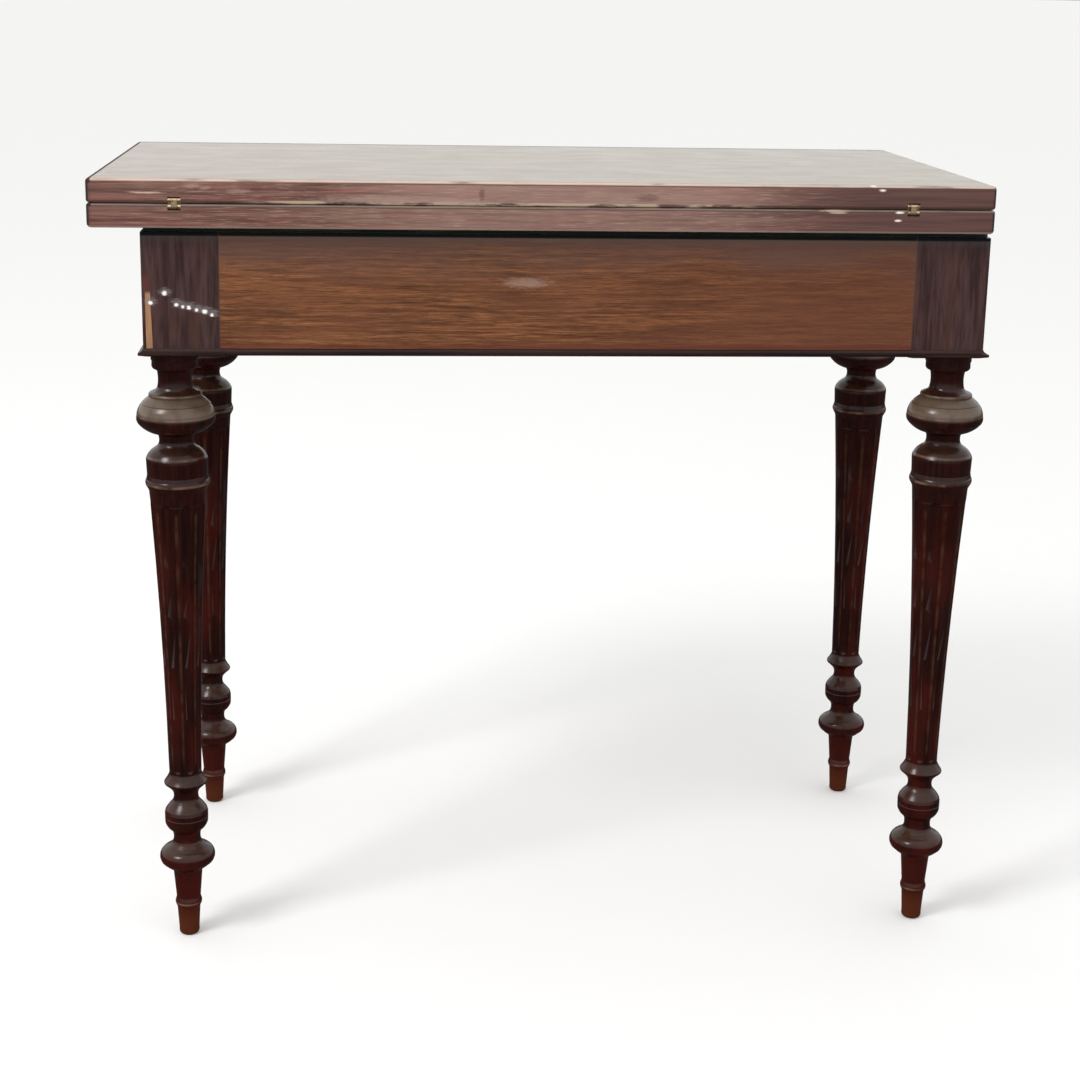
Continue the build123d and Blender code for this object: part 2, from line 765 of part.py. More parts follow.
# Leaves: the seam edge is rounded about the hinge pin, so the leaves roll past each other
field_length = leaf_length - 2 * baize_border
field_depth = leaf_depth - 2 * baize_border
pocket_depth = pin_depth + pocket_reach
with BuildPart() as leaf_blank:
    with BuildSketch(Plane.XY.offset(leaf_underside)):
        with Locations((top_centre_x, 0)):
            RectangleRounded(leaf_length, leaf_depth, leaf_corner_radius)
    extrude(amount=leaf_thickness)
    fillet(leaf_blank.faces().sort_by(Axis.Z)[-1].edges(), pin_depth)
    fillet(leaf_blank.faces().sort_by(Axis.Z)[0].edges(), leaf_arris_radius)
    with BuildSketch(lower_fold_plane):
        with Locations((top_centre_x, 0)):
            RectangleRounded(field_length, field_depth, baize_corner_radius)
    extrude(amount=-baize_recess, mode=Mode.SUBTRACT)
    for hinge_x in hinge_places.values():
        with BuildSketch(lower_fold_plane):
            with Locations((hinge_x, plate_front + hinge_plate_depth / 2)):
                Rectangle(hinge_plate_length + 2 * joint_clearance, hinge_plate_depth + 2 * joint_clearance)
        extrude(amount=-hinge_plate_thickness, mode=Mode.SUBTRACT)
        with BuildSketch(lower_fold_plane):
            with Locations((hinge_x, plate_front - (pocket_depth + overrun) / 2)):
                Rectangle(knuckle_width + 2 * joint_clearance, pocket_depth + overrun)
        extrude(amount=-pocket_depth, mode=Mode.SUBTRACT)
        with Locations(*hinge_screw_places(hinge_x)):
            add(screw_hole, mode=Mode.SUBTRACT)

with BuildPart() as lower_leaf:
    add(leaf_blank.part)
    with BuildSketch(Plane.XY.offset(leaf_underside)):
        with Locations((pivot_x, pivot_y)):
            Rectangle(pivot_plate_size + 2 * joint_clearance, pivot_plate_size + 2 * joint_clearance)
    extrude(amount=plate_thickness, mode=Mode.SUBTRACT)
    with BuildSketch(Plane.XY.offset(plate_top)):
        with Locations((pivot_x, pivot_y)):
            Circle(stud_head_radius + joint_clearance)
    extrude(amount=stud_head_thickness + joint_clearance, mode=Mode.SUBTRACT)
    with Locations(*pivot_screw_places):
        add(screw_hole, mode=Mode.SUBTRACT)
keep(lower_leaf, "lower_leaf")

with BuildPart() as upper_leaf:
    mirror(leaf_blank.part, about=seam_plane)
keep(upper_leaf, "upper_leaf")

with BuildPart() as baize_lower:
    with BuildSketch(Plane.XY.offset(lower_leaf_top - baize_recess)):
        with Locations((top_centre_x, 0)):
            RectangleRounded(
                field_length - 2 * baize_clearance,
                field_depth - 2 * baize_clearance,
                baize_corner_radius,
            )
    extrude(amount=baize_thickness)
keep(baize_lower, "baize_lower")

with BuildPart() as baize_upper:
    mirror(baize_lower.part, about=seam_plane)
keep(baize_upper, "baize_upper")
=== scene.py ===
"""Folding card table: the finish of every surface and the cloths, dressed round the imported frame.

Every length in the property groups is a real size. Places come from the frame's own boxes.
"""
import functools
import math

import bpy
import numpy as np
from mathutils import Matrix, Vector


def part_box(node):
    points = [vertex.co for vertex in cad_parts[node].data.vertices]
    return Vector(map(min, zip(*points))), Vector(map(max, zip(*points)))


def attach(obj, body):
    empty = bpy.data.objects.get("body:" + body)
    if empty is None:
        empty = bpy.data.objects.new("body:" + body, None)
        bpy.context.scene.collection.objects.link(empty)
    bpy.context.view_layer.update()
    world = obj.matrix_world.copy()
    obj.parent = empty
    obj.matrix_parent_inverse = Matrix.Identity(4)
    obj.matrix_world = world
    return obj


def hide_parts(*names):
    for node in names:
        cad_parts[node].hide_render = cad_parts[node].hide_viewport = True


bl_info = {
    "name": "Folding Card Table",
    "version": (1, 0, 0),
    "blender": (4, 5, 0),
    "location": "View3D > Sidebar > Card Table",
    "description": "Finishes and cloths of a folding card table with a swivel top",
    "category": "Object",
}

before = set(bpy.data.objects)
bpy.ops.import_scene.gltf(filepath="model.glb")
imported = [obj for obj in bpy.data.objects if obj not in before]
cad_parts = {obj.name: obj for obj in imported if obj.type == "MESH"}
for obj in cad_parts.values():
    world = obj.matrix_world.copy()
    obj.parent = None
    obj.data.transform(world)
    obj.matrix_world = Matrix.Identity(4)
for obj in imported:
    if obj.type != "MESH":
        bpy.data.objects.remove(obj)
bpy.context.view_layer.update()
MM = 0.001
X, Y, Z = 0, 1, 2
BLACK = (0.0, 0.0, 0.0, 1.0)
SMOOTH = {"interpolation_type": "SMOOTHSTEP"}

LEAVES = ("upper_leaf", "lower_leaf")
CORNERS = ("front_left", "front_right", "back_left", "back_right")
SIDES = ("front", "back", "left", "right")
FLUTES = 8
BAIZE_CORNER = 6 * MM
LINING_CORNER = 2 * MM
ONE_BAND = math.tau / 20


# Small helpers


def linear(hex_colour):
    """The linear colour of an sRGB hex value such as "76524b"."""
    parts = [int(hex_colour[i:i + 2], 16) / 255 for i in (0, 2, 4)]
    return (*(p / 12.92 if p <= 0.04045 else ((p + 0.055) / 1.055) ** 2.4 for p in parts), 1.0)


def swatch(hex_colour, name, description):
    """A colour property with an sRGB hex default."""
    return bpy.props.FloatVectorProperty(
        name=name, description=description, subtype="COLOR", size=4, min=0, max=1,
        default=linear(hex_colour))


def length(default, name, description):
    """A length property in metres, with its default given in millimetres."""
    return bpy.props.FloatProperty(
        name=name, description=description, subtype="DISTANCE", unit="LENGTH", min=0,
        default=default * MM)


def corners_mm(node):
    """A node's lowest and highest corners at rest, in millimetres."""
    lo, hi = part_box(node)
    return np.array(lo) / MM, np.array(hi) / MM


# Property groups: what a user would change


class CARDTABLE_PG_woods(bpy.types.PropertyGroup):
    """Colours of the polished woods."""

    leaf_light: swatch("7e584e", "Leaf, light figure", "Lighter streaks of the rosewood leaves")
    leaf_dark: swatch("5a3b34", "Leaf, dark figure", "Darker streaks of the rosewood leaves")
    leaf_red: swatch("8a504a", "Leaf, red streaks", "Streaks where the leaves are reddest")
    leaf_olive: swatch("77614f", "Leaf, olive streaks", "Streaks where the leaves are greyest")
    # The faded top colours are sun bleaching with a painted sheen: paler than the wood, they stand for
    # the bright room the top mirrors
    leaf_faded_sheen: swatch("88784f", "Faded top", "Top of the upper leaf, bleached by the sun, with a painted sheen")
    leaf_faded_sheen_pink: swatch("8c7356", "Faded top, left end", "Where the top is less bleached")
    leaf_faded_sheen_dark: swatch("5a452f", "Faded top, dark figure", "Darker streaks of the bleached top")
    leaf_faded_sheen_gaps: swatch("3f2d20", "Faded top, fibres", "Between the fibres of the bleached top")
    apron_light: swatch("945e39", "Apron, light figure", "Lighter streaks of the apron veneer")
    apron_dark: swatch("663d25", "Apron, dark figure", "Darker streaks of the apron veneer")
    apron_pores: swatch("3f2415", "Apron, pores", "Short dark pores of the mahogany")
    apron_ribbon: swatch("6d4029", "Apron, ribbon figure", "Broad darker bands of the mahogany")
    apron_redder: swatch("5b3223", "Apron, right end", "Where the front apron is redder")
    apron_cloud: swatch("5a423b", "Apron, bloomed polish", "Purple cast along the top of the apron")
    post_light: swatch("4a3432", "Post, light figure", "Lighter streaks of the corner posts")
    post_dark: swatch("342120", "Post, dark figure", "Darker streaks of the corner posts")
    post_warm: swatch("55372c", "Post, warm stripes", "Browner stripes of the corner posts")
    moulding_light: swatch("36221f", "Moulding, light figure", "Lighter streaks of the mouldings")
    moulding_dark: swatch("1f1211", "Moulding, dark figure", "Darker streaks of the mouldings")
    leg_light: swatch("280b06", "Leg, light figure", "Lighter streaks of the turned legs")
    leg_dark: swatch("180604", "Leg, dark figure", "Darker streaks of the turned legs")
    leg_glow: swatch("430f07", "Leg, red glow", "Where light comes back through the polish")
    leg_foot: swatch("4f2512", "Leg, worn foot", "Feet where the polish has gone")
    oak_light: swatch("b58d5e", "Oak, light figure", "Lighter streaks of the bare oak inside")
    oak_dark: swatch("7f5a36", "Oak, dark figure", "Darker streaks of the bare oak inside")


class CARDTABLE_PG_wear_and_light(bpy.types.PropertyGroup):
    """Colours of rubs, dirt and damage, and of painted light and shade."""

    dusky: swatch("513835", "Dusky end", "Right end of the leaves")
    handled: swatch("a98a7f", "Handled", "Leaves where hands have dulled them")
    wisps: swatch("c4a596", "Wisps", "Fine pale scratches along the front of the leaves")
    # Rubbed-through arris, also a painted highlight along the front
    arris_rub_and_highlight: swatch("cdb4a4", "Bare wood", "Arris where the polish is rubbed through, with a painted highlight")
    # Painted dark reflection under the front arris
    dark_reflection_under_arris: swatch("3b211d", "Under the arris", "Painted dark reflection in a line under the rubbed arris")
    dull_arris: swatch("4a3530", "Dull arrises", "Arrises of the leaves that no hand rubs")
    # Painted dark reflection on the ends of the leaves
    ends_dark_reflection: swatch("2b1b18", "Dark ends", "Painted dark reflection on the upright arrises at the ends of the leaves")
    # Painted light from the floor on the lower arris, also rubbed pale
    sole: swatch("a98b80", "Sole", "Lower arris of the lower leaf, with painted light from the floor")
    seam_dirt: swatch("3d2c26", "Seam, dirt", "Dirt along the seam between the leaves")
    seam_rub: swatch("b9a48c", "Seam, rubbed", "Where the seam is rubbed pale")
    bruises: swatch("48302e", "Bruises", "Dark marks on the front of the leaves")
    smudges: swatch("a0857a", "Smudges", "Greyish marks on the front of the leaves")
    scuffs: swatch("c9ab9a", "Scuffs", "Pale scuffs on the front of the leaves")
    chips: swatch("e6dcd2", "Chips", "Small chips by the right hinge")
    rim: swatch("2b201c", "Dark rim", "Rim of the top, where the bare wood has gone dark")
    apron_bloom: swatch("50514a", "Apron, grey bloom", "Top edge of the apron")
    apron_foot: swatch("5c2a1e", "Apron, foot", "Redder band at the foot of the apron")
    apron_joint: swatch("4a372d", "Apron, joint", "Joints between the apron and the posts")
    dent: swatch("93786a", "Dent", "Pressed place on the front apron")
    dent_shade: swatch("55301d", "Under the dent", "Darker place under the dent")
    post_bloom: swatch("3f4344", "Post, grey bloom", "Top edge of the posts")
    # Painted shadow in the gap under the top
    shadow_line: swatch("040504", "Dark line", "Painted shadow in the gap under the top")
    lost_veneer: swatch("a2795a", "Lost veneer", "Ground wood where a strip of veneer is gone")
    lost_gaps: swatch("8a6248", "Lost veneer, fibres", "Darker fibres of that ground wood")
    red_stain: swatch("5f2c2a", "Red stain", "Stain over the lost strip")
    # Painted glints where dents in the polish catch the light
    crushed: swatch("7c7474", "Crushed polish", "Grey bloom round the painted glints on the post")
    dent_glints: swatch("f4f1ea", "Glints", "Painted glints where dents in the crushed polish catch the light")
    # Old wax, and a painted sheen, on the upper sides
    ledge_dust_and_sheen: swatch("3f2d24", "Ledge dust and sheen", "Old wax and painted sheen on the upper sides of the turnings")
    # Rubbed beads, and a painted highlight on the collar
    bead_rub_and_highlight: swatch("755a4b", "Rubbed beads", "Raised beads of the turnings, rubbed thin, with a painted highlight on the collar")
    # Rubbed bulbs with a painted sheen
    bulb_rub_and_sheen: swatch("6f6052", "Rubbed bulbs", "Round bulbs of the legs, dulled by dusters, with a painted sheen")
    # Rubbed flute edges with a painted highlight
    flute_rub_and_highlight: swatch("4c3020", "Rubbed flutes", "Edges between the flutes, a dull olive brown, with a painted highlight")


class CARDTABLE_PG_metals(bpy.types.PropertyGroup):
    """Colours of the hinges and the pivot."""

    brass: swatch("d9bf9c", "Brass", "Rubbed spots of the hinges")
    tarnish: swatch("5a4a3a", "Tarnish", "Dull brown of the hinges")
    iron: swatch("3a3835", "Iron", "Blackened pivot plates")
    rust: swatch("5b3a28", "Rust", "Rust on the pivot plates")
    steel: swatch("8b8884", "Steel", "Screws, stud and nut")
    steel_marks: swatch("6a6765", "Steel, turning marks", "Darker marks on the steel")


class CARDTABLE_PG_cloths(bpy.types.PropertyGroup):
    """Colours and sizes of the cloths."""

    baize: swatch("2f5b3a", "Baize", "Playing cloth of the leaves")
    baize_worn: swatch("6d7a4f", "Worn baize", "Playing cloth where the nap is gone")
    felt: swatch("14281e", "Glide strip", "Felted strips that the top slides on")
    felt_worn: swatch("31493a", "Worn glide strip", "Felted strips where they are rubbed")
    lining: swatch("3a5540", "Well lining", "Cloth on the floor of the card well")
    lining_worn: swatch("6e7c66", "Worn well lining", "Lining where it is rubbed")
    thread: length(0.9, "Thread spacing", "Distance between threads, coarser than real so it shows")
    step: length(4.0, "Grid step", "Distance between the points of a cloth's surface")
    cockle: length(0.05, "Cockle", "Height of the cloth's slight unevenness")


class CARDTABLE_PG_studio(bpy.types.PropertyGroup):
    """Camera, floor and light."""

    eye: bpy.props.FloatVectorProperty(
        name="Camera place", description="Where the camera stands, from the top's centre line",
        subtype="TRANSLATION", unit="LENGTH", default=(-0.16768, -2.01988, 0.93632))
    pitch: bpy.props.FloatProperty(
        name="Pitch", description="How far the camera looks down", subtype="ANGLE", default=0.2404)
    yaw: bpy.props.FloatProperty(
        name="Yaw", description="How far the camera looks to the right", subtype="ANGLE", default=0.0879)
    roll: bpy.props.FloatProperty(
        name="Roll", description="How far the camera leans", subtype="ANGLE", default=0.0182)
    focal: bpy.props.FloatProperty(
        name="Focal length", description="Lens in millimetres on a 36 mm sensor",
        default=65.79, min=1)
    shift: bpy.props.FloatProperty(
        name="Vertical shift", description="Shift of the lens as a share of the picture's width",
        default=-0.0648)
    floor: swatch("f5f5f4", "Floor", "Plain pale floor")
    sky: bpy.props.FloatProperty(
        name="Room light", description="Brightness of the soft light from all round",
        default=1.0, min=0)
    key: bpy.props.FloatProperty(
        name="Main light", description="Power of the soft light at the upper left, in watts",
        default=55, min=0)
    below: bpy.props.FloatProperty(
        name="Dark ground", description="Brightness that polish mirrors from below the horizon",
        default=0.07, min=0)


# Materials


def add_node(tree, kind, settings):
    """Add a node. A setting is a property, an input's value, or the socket linked to that input."""
    node = tree.nodes.new(kind)
    for key, value in settings.items():
        if isinstance(value, bpy.types.NodeSocket):
            tree.links.new(value, node.inputs[key])
        elif isinstance(key, str) and hasattr(node, key):
            setattr(node, key, value)
        else:
            node.inputs[key].default_value = value
    return node


def new_material(name):
    """An empty node material, and the surface point's own place on the object in millimetres."""
    material = bpy.data.materials.new(name)
    material.use_nodes = True
    tree = material.node_tree
    tree.nodes.clear()
    where = add_node(tree, "ShaderNodeTexCoord", {}).outputs["Object"]
    place = add_node(
        tree, "ShaderNodeVectorMath", {"operation": "SCALE", 0: where, "Scale": 1 / MM})
    return material, place.outputs["Vector"]


def shaded(material, settings, relief=None, depth_mm=0.0):
    """The material with its shader set, and with relief of the given depth where there is any."""
    tree = material.node_tree
    shader = add_node(tree, "ShaderNodeBsdfPrincipled", settings)
    add_node(tree, "ShaderNodeOutputMaterial", {"Surface": shader.outputs[0]})
    if relief is not None:
        bump = add_node(tree, "ShaderNodeBump", {"Height": relief, "Distance": depth_mm * MM})
        tree.links.new(bump.outputs["Normal"], shader.inputs["Normal"])
    return material


def all_of(*masks):
    """Where all the masks hold: their product. The first is a socket, the others may be numbers."""
    return functools.reduce(lambda total, mask: add_node(
        total.id_data, "ShaderNodeMath", {"operation": "MULTIPLY", 0: total, 1: mask}).outputs[0], masks)


def any_of(*masks):
    """Where any of the masks holds: the highest of them."""
    return functools.reduce(lambda top, mask: add_node(
        top.id_data, "ShaderNodeMath", {"operation": "MAXIMUM", 0: top, 1: mask}).outputs[0], masks)


def painted(under, over, *masks):
    """Colour over laid on colour under where all the masks hold."""
    amount = all_of(*masks)
    return add_node(
        amount.id_data, "ShaderNodeMix",
        {"data_type": "RGBA", "clamp_factor": True, 0: amount, 6: under, 7: over}).outputs[2]


def lumps(place, size, detail=3.0, rough=0.5, warp=0.0, seed=0.0):
    """Smooth noise from 0 to 1 whose lumps are about size millimetres along x, y and z."""
    tree = place.id_data
    scaled = add_node(tree, "ShaderNodeVectorMath", {"operation": "DIVIDE", 0: place, 1: size})
    return add_node(
        tree, "ShaderNodeTexNoise",
        {"noise_dimensions": "4D", "Vector": scaled.outputs["Vector"], "W": seed, "Scale": 1.0,
         "Detail": detail, "Roughness": rough, "Distortion": warp}).outputs["Fac"]


def patches(place, size, low, high, to_low=0.0, to_high=1.0, **pattern):
    """Noise in patches: to_low where it is under low, to_high over high, a smooth S between."""
    noise = lumps(place, size, **pattern)
    return add_node(
        noise.id_data, "ShaderNodeMapRange",
        {**SMOOTH, 0: noise, 1: low, 2: high, 3: to_low, 4: to_high}).outputs[0]


def slope(place, axis, low, high, to_low=0.0, to_high=1.0, wander=None, reach=0.0):
    """A smooth S along an axis: to_low up to low, to_high past high, both in millimetres.

    A mask or noise given as wander carries the place up to reach further along.
    """
    tree = place.id_data
    value = add_node(tree, "ShaderNodeSeparateXYZ", {0: place}).outputs[axis]
    if wander is not None:
        value = add_node(
            tree, "ShaderNodeMath",
            {"operation": "MULTIPLY_ADD", 0: wander, 1: reach, 2: value}).outputs[0]
    return add_node(
        tree, "ShaderNodeMapRange",
        {**SMOOTH, 0: value, 1: low, 2: high, 3: to_low, 4: to_high}).outputs[0]


def facing(place, axis, low, high):
    """How far the piece's own surface turns along an axis at rest: 0 at low, 1 at high."""
    turned = add_node(place.id_data, "ShaderNodeTexCoord", {}).outputs["Normal"]
    return slope(turned, axis, low, high)


def band(place, axis, middle, half, soft):
    """1 within half of middle along an axis, falling to 0 over soft beyond it, in millimetres."""
    tree = place.id_data
    shift = [middle if i == axis else 0.0 for i in range(3)]
    away = add_node(tree, "ShaderNodeVectorMath", {"operation": "SUBTRACT", 0: place, 1: shift})
    off = add_node(tree, "ShaderNodeVectorMath", {"operation": "ABSOLUTE", 0: away.outputs[0]})
    return slope(off.outputs[0], axis, half + soft, half)


def spot(place, centre, reach, ragged, seed):
    """1 inside an ellipsoid round centre, falling to 0 at its reach, all in millimetres.

    Noise moves its edge in and out by ragged, as a share of the reach.
    """
    tree = place.id_data
    away = place
    for operation, term in (("SUBTRACT", centre), ("DIVIDE", reach)):
        away = add_node(
            tree, "ShaderNodeVectorMath", {"operation": operation, 0: away, 1: term}).outputs[0]
    far = add_node(tree, "ShaderNodeVectorMath", {"operation": "LENGTH", 0: away}).outputs["Value"]
    far = add_node(
        tree, "ShaderNodeMath",
        {"operation": "MULTIPLY_ADD", 0: lumps(place, (6.0, 4.0, 1.6), seed=seed), 1: ragged,
         2: far}).outputs[0]
    outer, inner = 1.0 + ragged / 2, 0.25 + ragged / 2
    return add_node(tree, "ShaderNodeMapRange", {**SMOOTH, 0: far, 1: outer, 2: inner}).outputs[0]


def marked(place, colour, paint, amount, ragged, seed, face, marks):
    """Colour with small marks of one paint laid over it, on a face that looks to the front.

    face is (left end, front). Each mark is (distance from the left end, height, reach along, reach
    in, reach up), in millimetres.
    """
    left, front = face
    masks = [
        spot(place, (left + x, front, z), reach, ragged, seed + i)
        for i, (x, z, *reach) in enumerate(marks)]
    return painted(colour, paint, any_of(*masks), amount)


def streak(along, width, run):
    """The size of a streak of a given width that runs along one axis."""
    return [run if i == along else width for i in range(3)]


def lined(colour, shade, fibres, share):
    """Colour with a darker shade between the fibres."""
    gaps = add_node(fibres.id_data, "ShaderNodeMath", {"operation": "SUBTRACT", 0: 1.0, 1: fibres})
    return painted(colour, shade, gaps.outputs[0], share)


def sawn(place, along, dark, light, fibre_mm, figure_mm, share, seed):
    """Long grain of sawn wood along one axis: (its colour, its fine fibres from 0 to 1).

    The broad figure goes from dark to light, and share is how dark it is between the fibres.
    fibre_mm and figure_mm are (width, run). Real fibres are about 0.2 mm wide, too fine to show,
    so they are drawn four or five times coarser.
    """
    figure = patches(
        place, streak(along, *figure_mm), 0.36, 0.66, detail=4, rough=0.6, warp=0.5, seed=seed)
    fibres = patches(
        place, streak(along, *fibre_mm), 0.32, 0.7, detail=3, rough=0.65, seed=seed + 3.1)
    return lined(painted(dark, light, figure), BLACK, fibres, share), fibres


def leaf_rosewood(woods, wear_and_light):
    """Rosewood leaves, French polished a century ago: rose-brown long grain with redder and greyer
    streaks, arrises rubbed pale, scuffs and chips by the hinges, a sun-bleached top with a painted
    sheen, painted dark reflections under the front arris and on the ends, painted floor light on
    the lower arris, and a polish that mirrors the room at a low angle."""
    material, place = new_material("leaf_rosewood_french_polish")
    (left, front, sole), (right, back, top) = corners_mm("lower_leaf")[0], corners_mm("upper_leaf")[1]
    seam = corners_mm("upper_leaf")[0][2]
    colour, fibres = sawn(
        place, X, woods.leaf_dark, woods.leaf_light, (0.9, 36.0), (3.4, 120.0), 0.3, 2.0)
    red = patches(place, (110.0, 14.0, 3.0), 0.48, 0.68, detail=4, seed=7.0)
    olive = patches(place, (130.0, 14.0, 4.0), 0.5, 0.68, detail=4, seed=8.0)
    colour = painted(colour, woods.leaf_red, red, 0.55)
    colour = painted(colour, woods.leaf_olive, olive, 0.7)
    colour = painted(colour, wear_and_light.dusky, slope(place, X, left + 520.0, left + 760.0, 0.0, 0.68))
    colour = painted(
        colour, wear_and_light.handled, band(place, X, left + 440.0, 110.0, 130.0),
        slope(place, Z, seam - 6.0, seam + 4.0, 0.24, 0.42))
    wisps = patches(place, (26.0, 5.0, 0.9), 0.5, 0.68, detail=4, rough=0.65, seed=16.0)
    colour = painted(
        colour, wear_and_light.wisps, wisps, band(place, X, left + 350.0, 250.0, 130.0),
        facing(place, Y, -0.4, -0.8), 0.4)

    # The top of the upper leaf, pinker towards its left end: sun bleaching with a painted sheen, paler
    # than the wood to stand for the bright room it mirrors
    drift = lumps(place, (160.0, 60.0, 60.0), seed=4.0)
    faded_sheen = painted(
        woods.leaf_faded_sheen_pink, woods.leaf_faded_sheen,
        slope(place, X, left + 120.0, left + 460.0, wander=drift, reach=260.0))
    streaks = patches(
        place, (170.0, 6.0, 40.0), 0.42, 0.62, 0.0, 0.55, detail=5, rough=0.62, warp=0.4, seed=14.0)
    faded_sheen = painted(faded_sheen, woods.leaf_faded_sheen_dark, streaks)
    faded_sheen = lined(faded_sheen, woods.leaf_faded_sheen_gaps, fibres, 0.4)
    colour = painted(
        colour, faded_sheen, facing(place, Z, 0.8, 0.98), slope(place, Z, top - 8.0, top - 4.0))

    # Arrises: rubbed pale along the hinged edge, where the pale is also a painted highlight, with a
    # painted dark reflection in a line under them, dark elsewhere. The upright ends get a painted dark
    # reflection too, and the sole painted light from the floor
    arris = all_of(facing(place, Z, 0.3, 0.6), facing(place, Z, 0.985, 0.93))
    hinged = facing(place, Y, -0.1, -0.35)
    rub = patches(place, (45.0, 9.0, 9.0), 0.25, 0.5, detail=4, seed=5.0)
    # Painted dark reflection: a line under the front arris where the polish would mirror the dark ground
    colour = painted(
        colour, wear_and_light.dark_reflection_under_arris, facing(place, Z, 0.04, 0.16), facing(place, Z, 0.42, 0.28), hinged,
        slope(place, X, left + 120.0, left + 330.0, 0.3, 0.8))
    # The front arris rubbed pale, which also stands as a painted highlight along it
    colour = painted(colour, wear_and_light.arris_rub_and_highlight, arris, hinged, rub, 0.85)
    colour = painted(colour, wear_and_light.dull_arris, arris, facing(place, Y, -0.35, -0.1), 0.6)
    # Painted dark reflection on the upright arrises at the ends of the leaves, darkening them as the
    # dark ground would
    ends = any_of(facing(place, X, 0.25, 0.6), facing(place, X, -0.25, -0.6))
    colour = painted(colour, wear_and_light.ends_dark_reflection, ends, facing(place, Y, -0.1, -0.3), 0.85)
    # Painted light from the floor on the lower arris of the lower leaf, which is also rubbed pale
    colour = painted(
        colour, wear_and_light.sole, facing(place, Z, -0.25, -0.6),
        slope(place, Z, sole + 6.0, sole + 4.0), hinged, 0.45)

    # The seam between the leaves: dark at the left end, then rubbed pale, then grey with grime
    worn = patches(place, (38.0, 9.0, 9.0), 0.42, 0.56, detail=4, rough=0.65, seed=6.0)
    colour = painted(colour, wear_and_light.seam_dirt, band(place, Z, seam, 2.2, 1.4), hinged, 0.7)
    colour = painted(
        colour, wear_and_light.seam_rub, band(place, Z, seam + 1.2, 1.4, 1.0), hinged, worn,
        band(place, X, left + 380.0, 190.0, 60.0), 0.8)

    # Marks on the front: paint, amount, ragged edge, seed, places
    face = (left, front + 0.5)
    for paint, amount, ragged, seed, marks in (
            (wear_and_light.bruises, 0.5, 1.2, 12.0, (
                (357.5, seam + 10.0, 3.5, 3.0, 9.0), (716.0, top - 2.6, 14.0, 3.0, 1.8),
                (510.0, seam + 9.0, 16.0, 3.0, 5.0))),
            (wear_and_light.smudges, 0.5, 1.4, 30.0, (
                (94.0, top - 6.6, 11.0, 3.0, 2.6), (107.0, top - 8.0, 9.0, 3.0, 2.4),
                (136.0, top - 11.0, 15.0, 3.0, 3.5), (262.0, seam + 5.0, 75.0, 3.0, 5.0),
                (330.0, seam + 4.0, 40.0, 3.0, 4.0))),
            (wear_and_light.scuffs, 0.75, 1.0, 15.0, (
                (53.0, top - 12.6, 22.0, 3.0, 1.3), (686.0, seam - 1.4, 17.0, 4.0, 1.8),
                (690.0, seam - 3.4, 11.0, 4.0, 1.3))),
            (wear_and_light.chips, 0.95, 0.9, 19.0, (
                (722.0, top - 0.6, 5.0, 4.0, 1.6), (730.5, top - 4.4, 4.6, 3.0, 1.7),
                (748.0, seam - 2.8, 5.6, 4.0, 1.5), (746.5, seam - 10.2, 5.0, 3.0, 1.5)))):
        colour = marked(place, colour, paint, amount, ragged, seed, face, marks)

    # The rim of the top, where the polish is rubbed through and the wood has gone dark
    rim = any_of(
        slope(place, X, left + 5.6, left + 4.2), slope(place, Y, back - 10.0, back - 6.0),
        slope(place, X, right - 2.0, right - 1.0, 0.0, 0.6))
    rim = all_of(rim, facing(place, Z, -0.1, 0.2))
    colour = painted(colour, wear_and_light.rim, rim, 0.9)
    coat = add_node(
        material.node_tree, "ShaderNodeMapRange", {**SMOOTH, 0: rim, 3: 0.67, 4: 0.0}).outputs[0]
    rough = patches(place, (60.0, 40.0, 6.0), 0.3, 0.7, 0.34, 0.5, detail=4, seed=11.0)
    return shaded(material, {
        "Base Color": colour, "Roughness": any_of(rough, rim), "Specular IOR Level": 0.2,
        "Coat Weight": coat, "Coat Roughness": 0.14, "Coat IOR": 1.5}, fibres, 0.03)


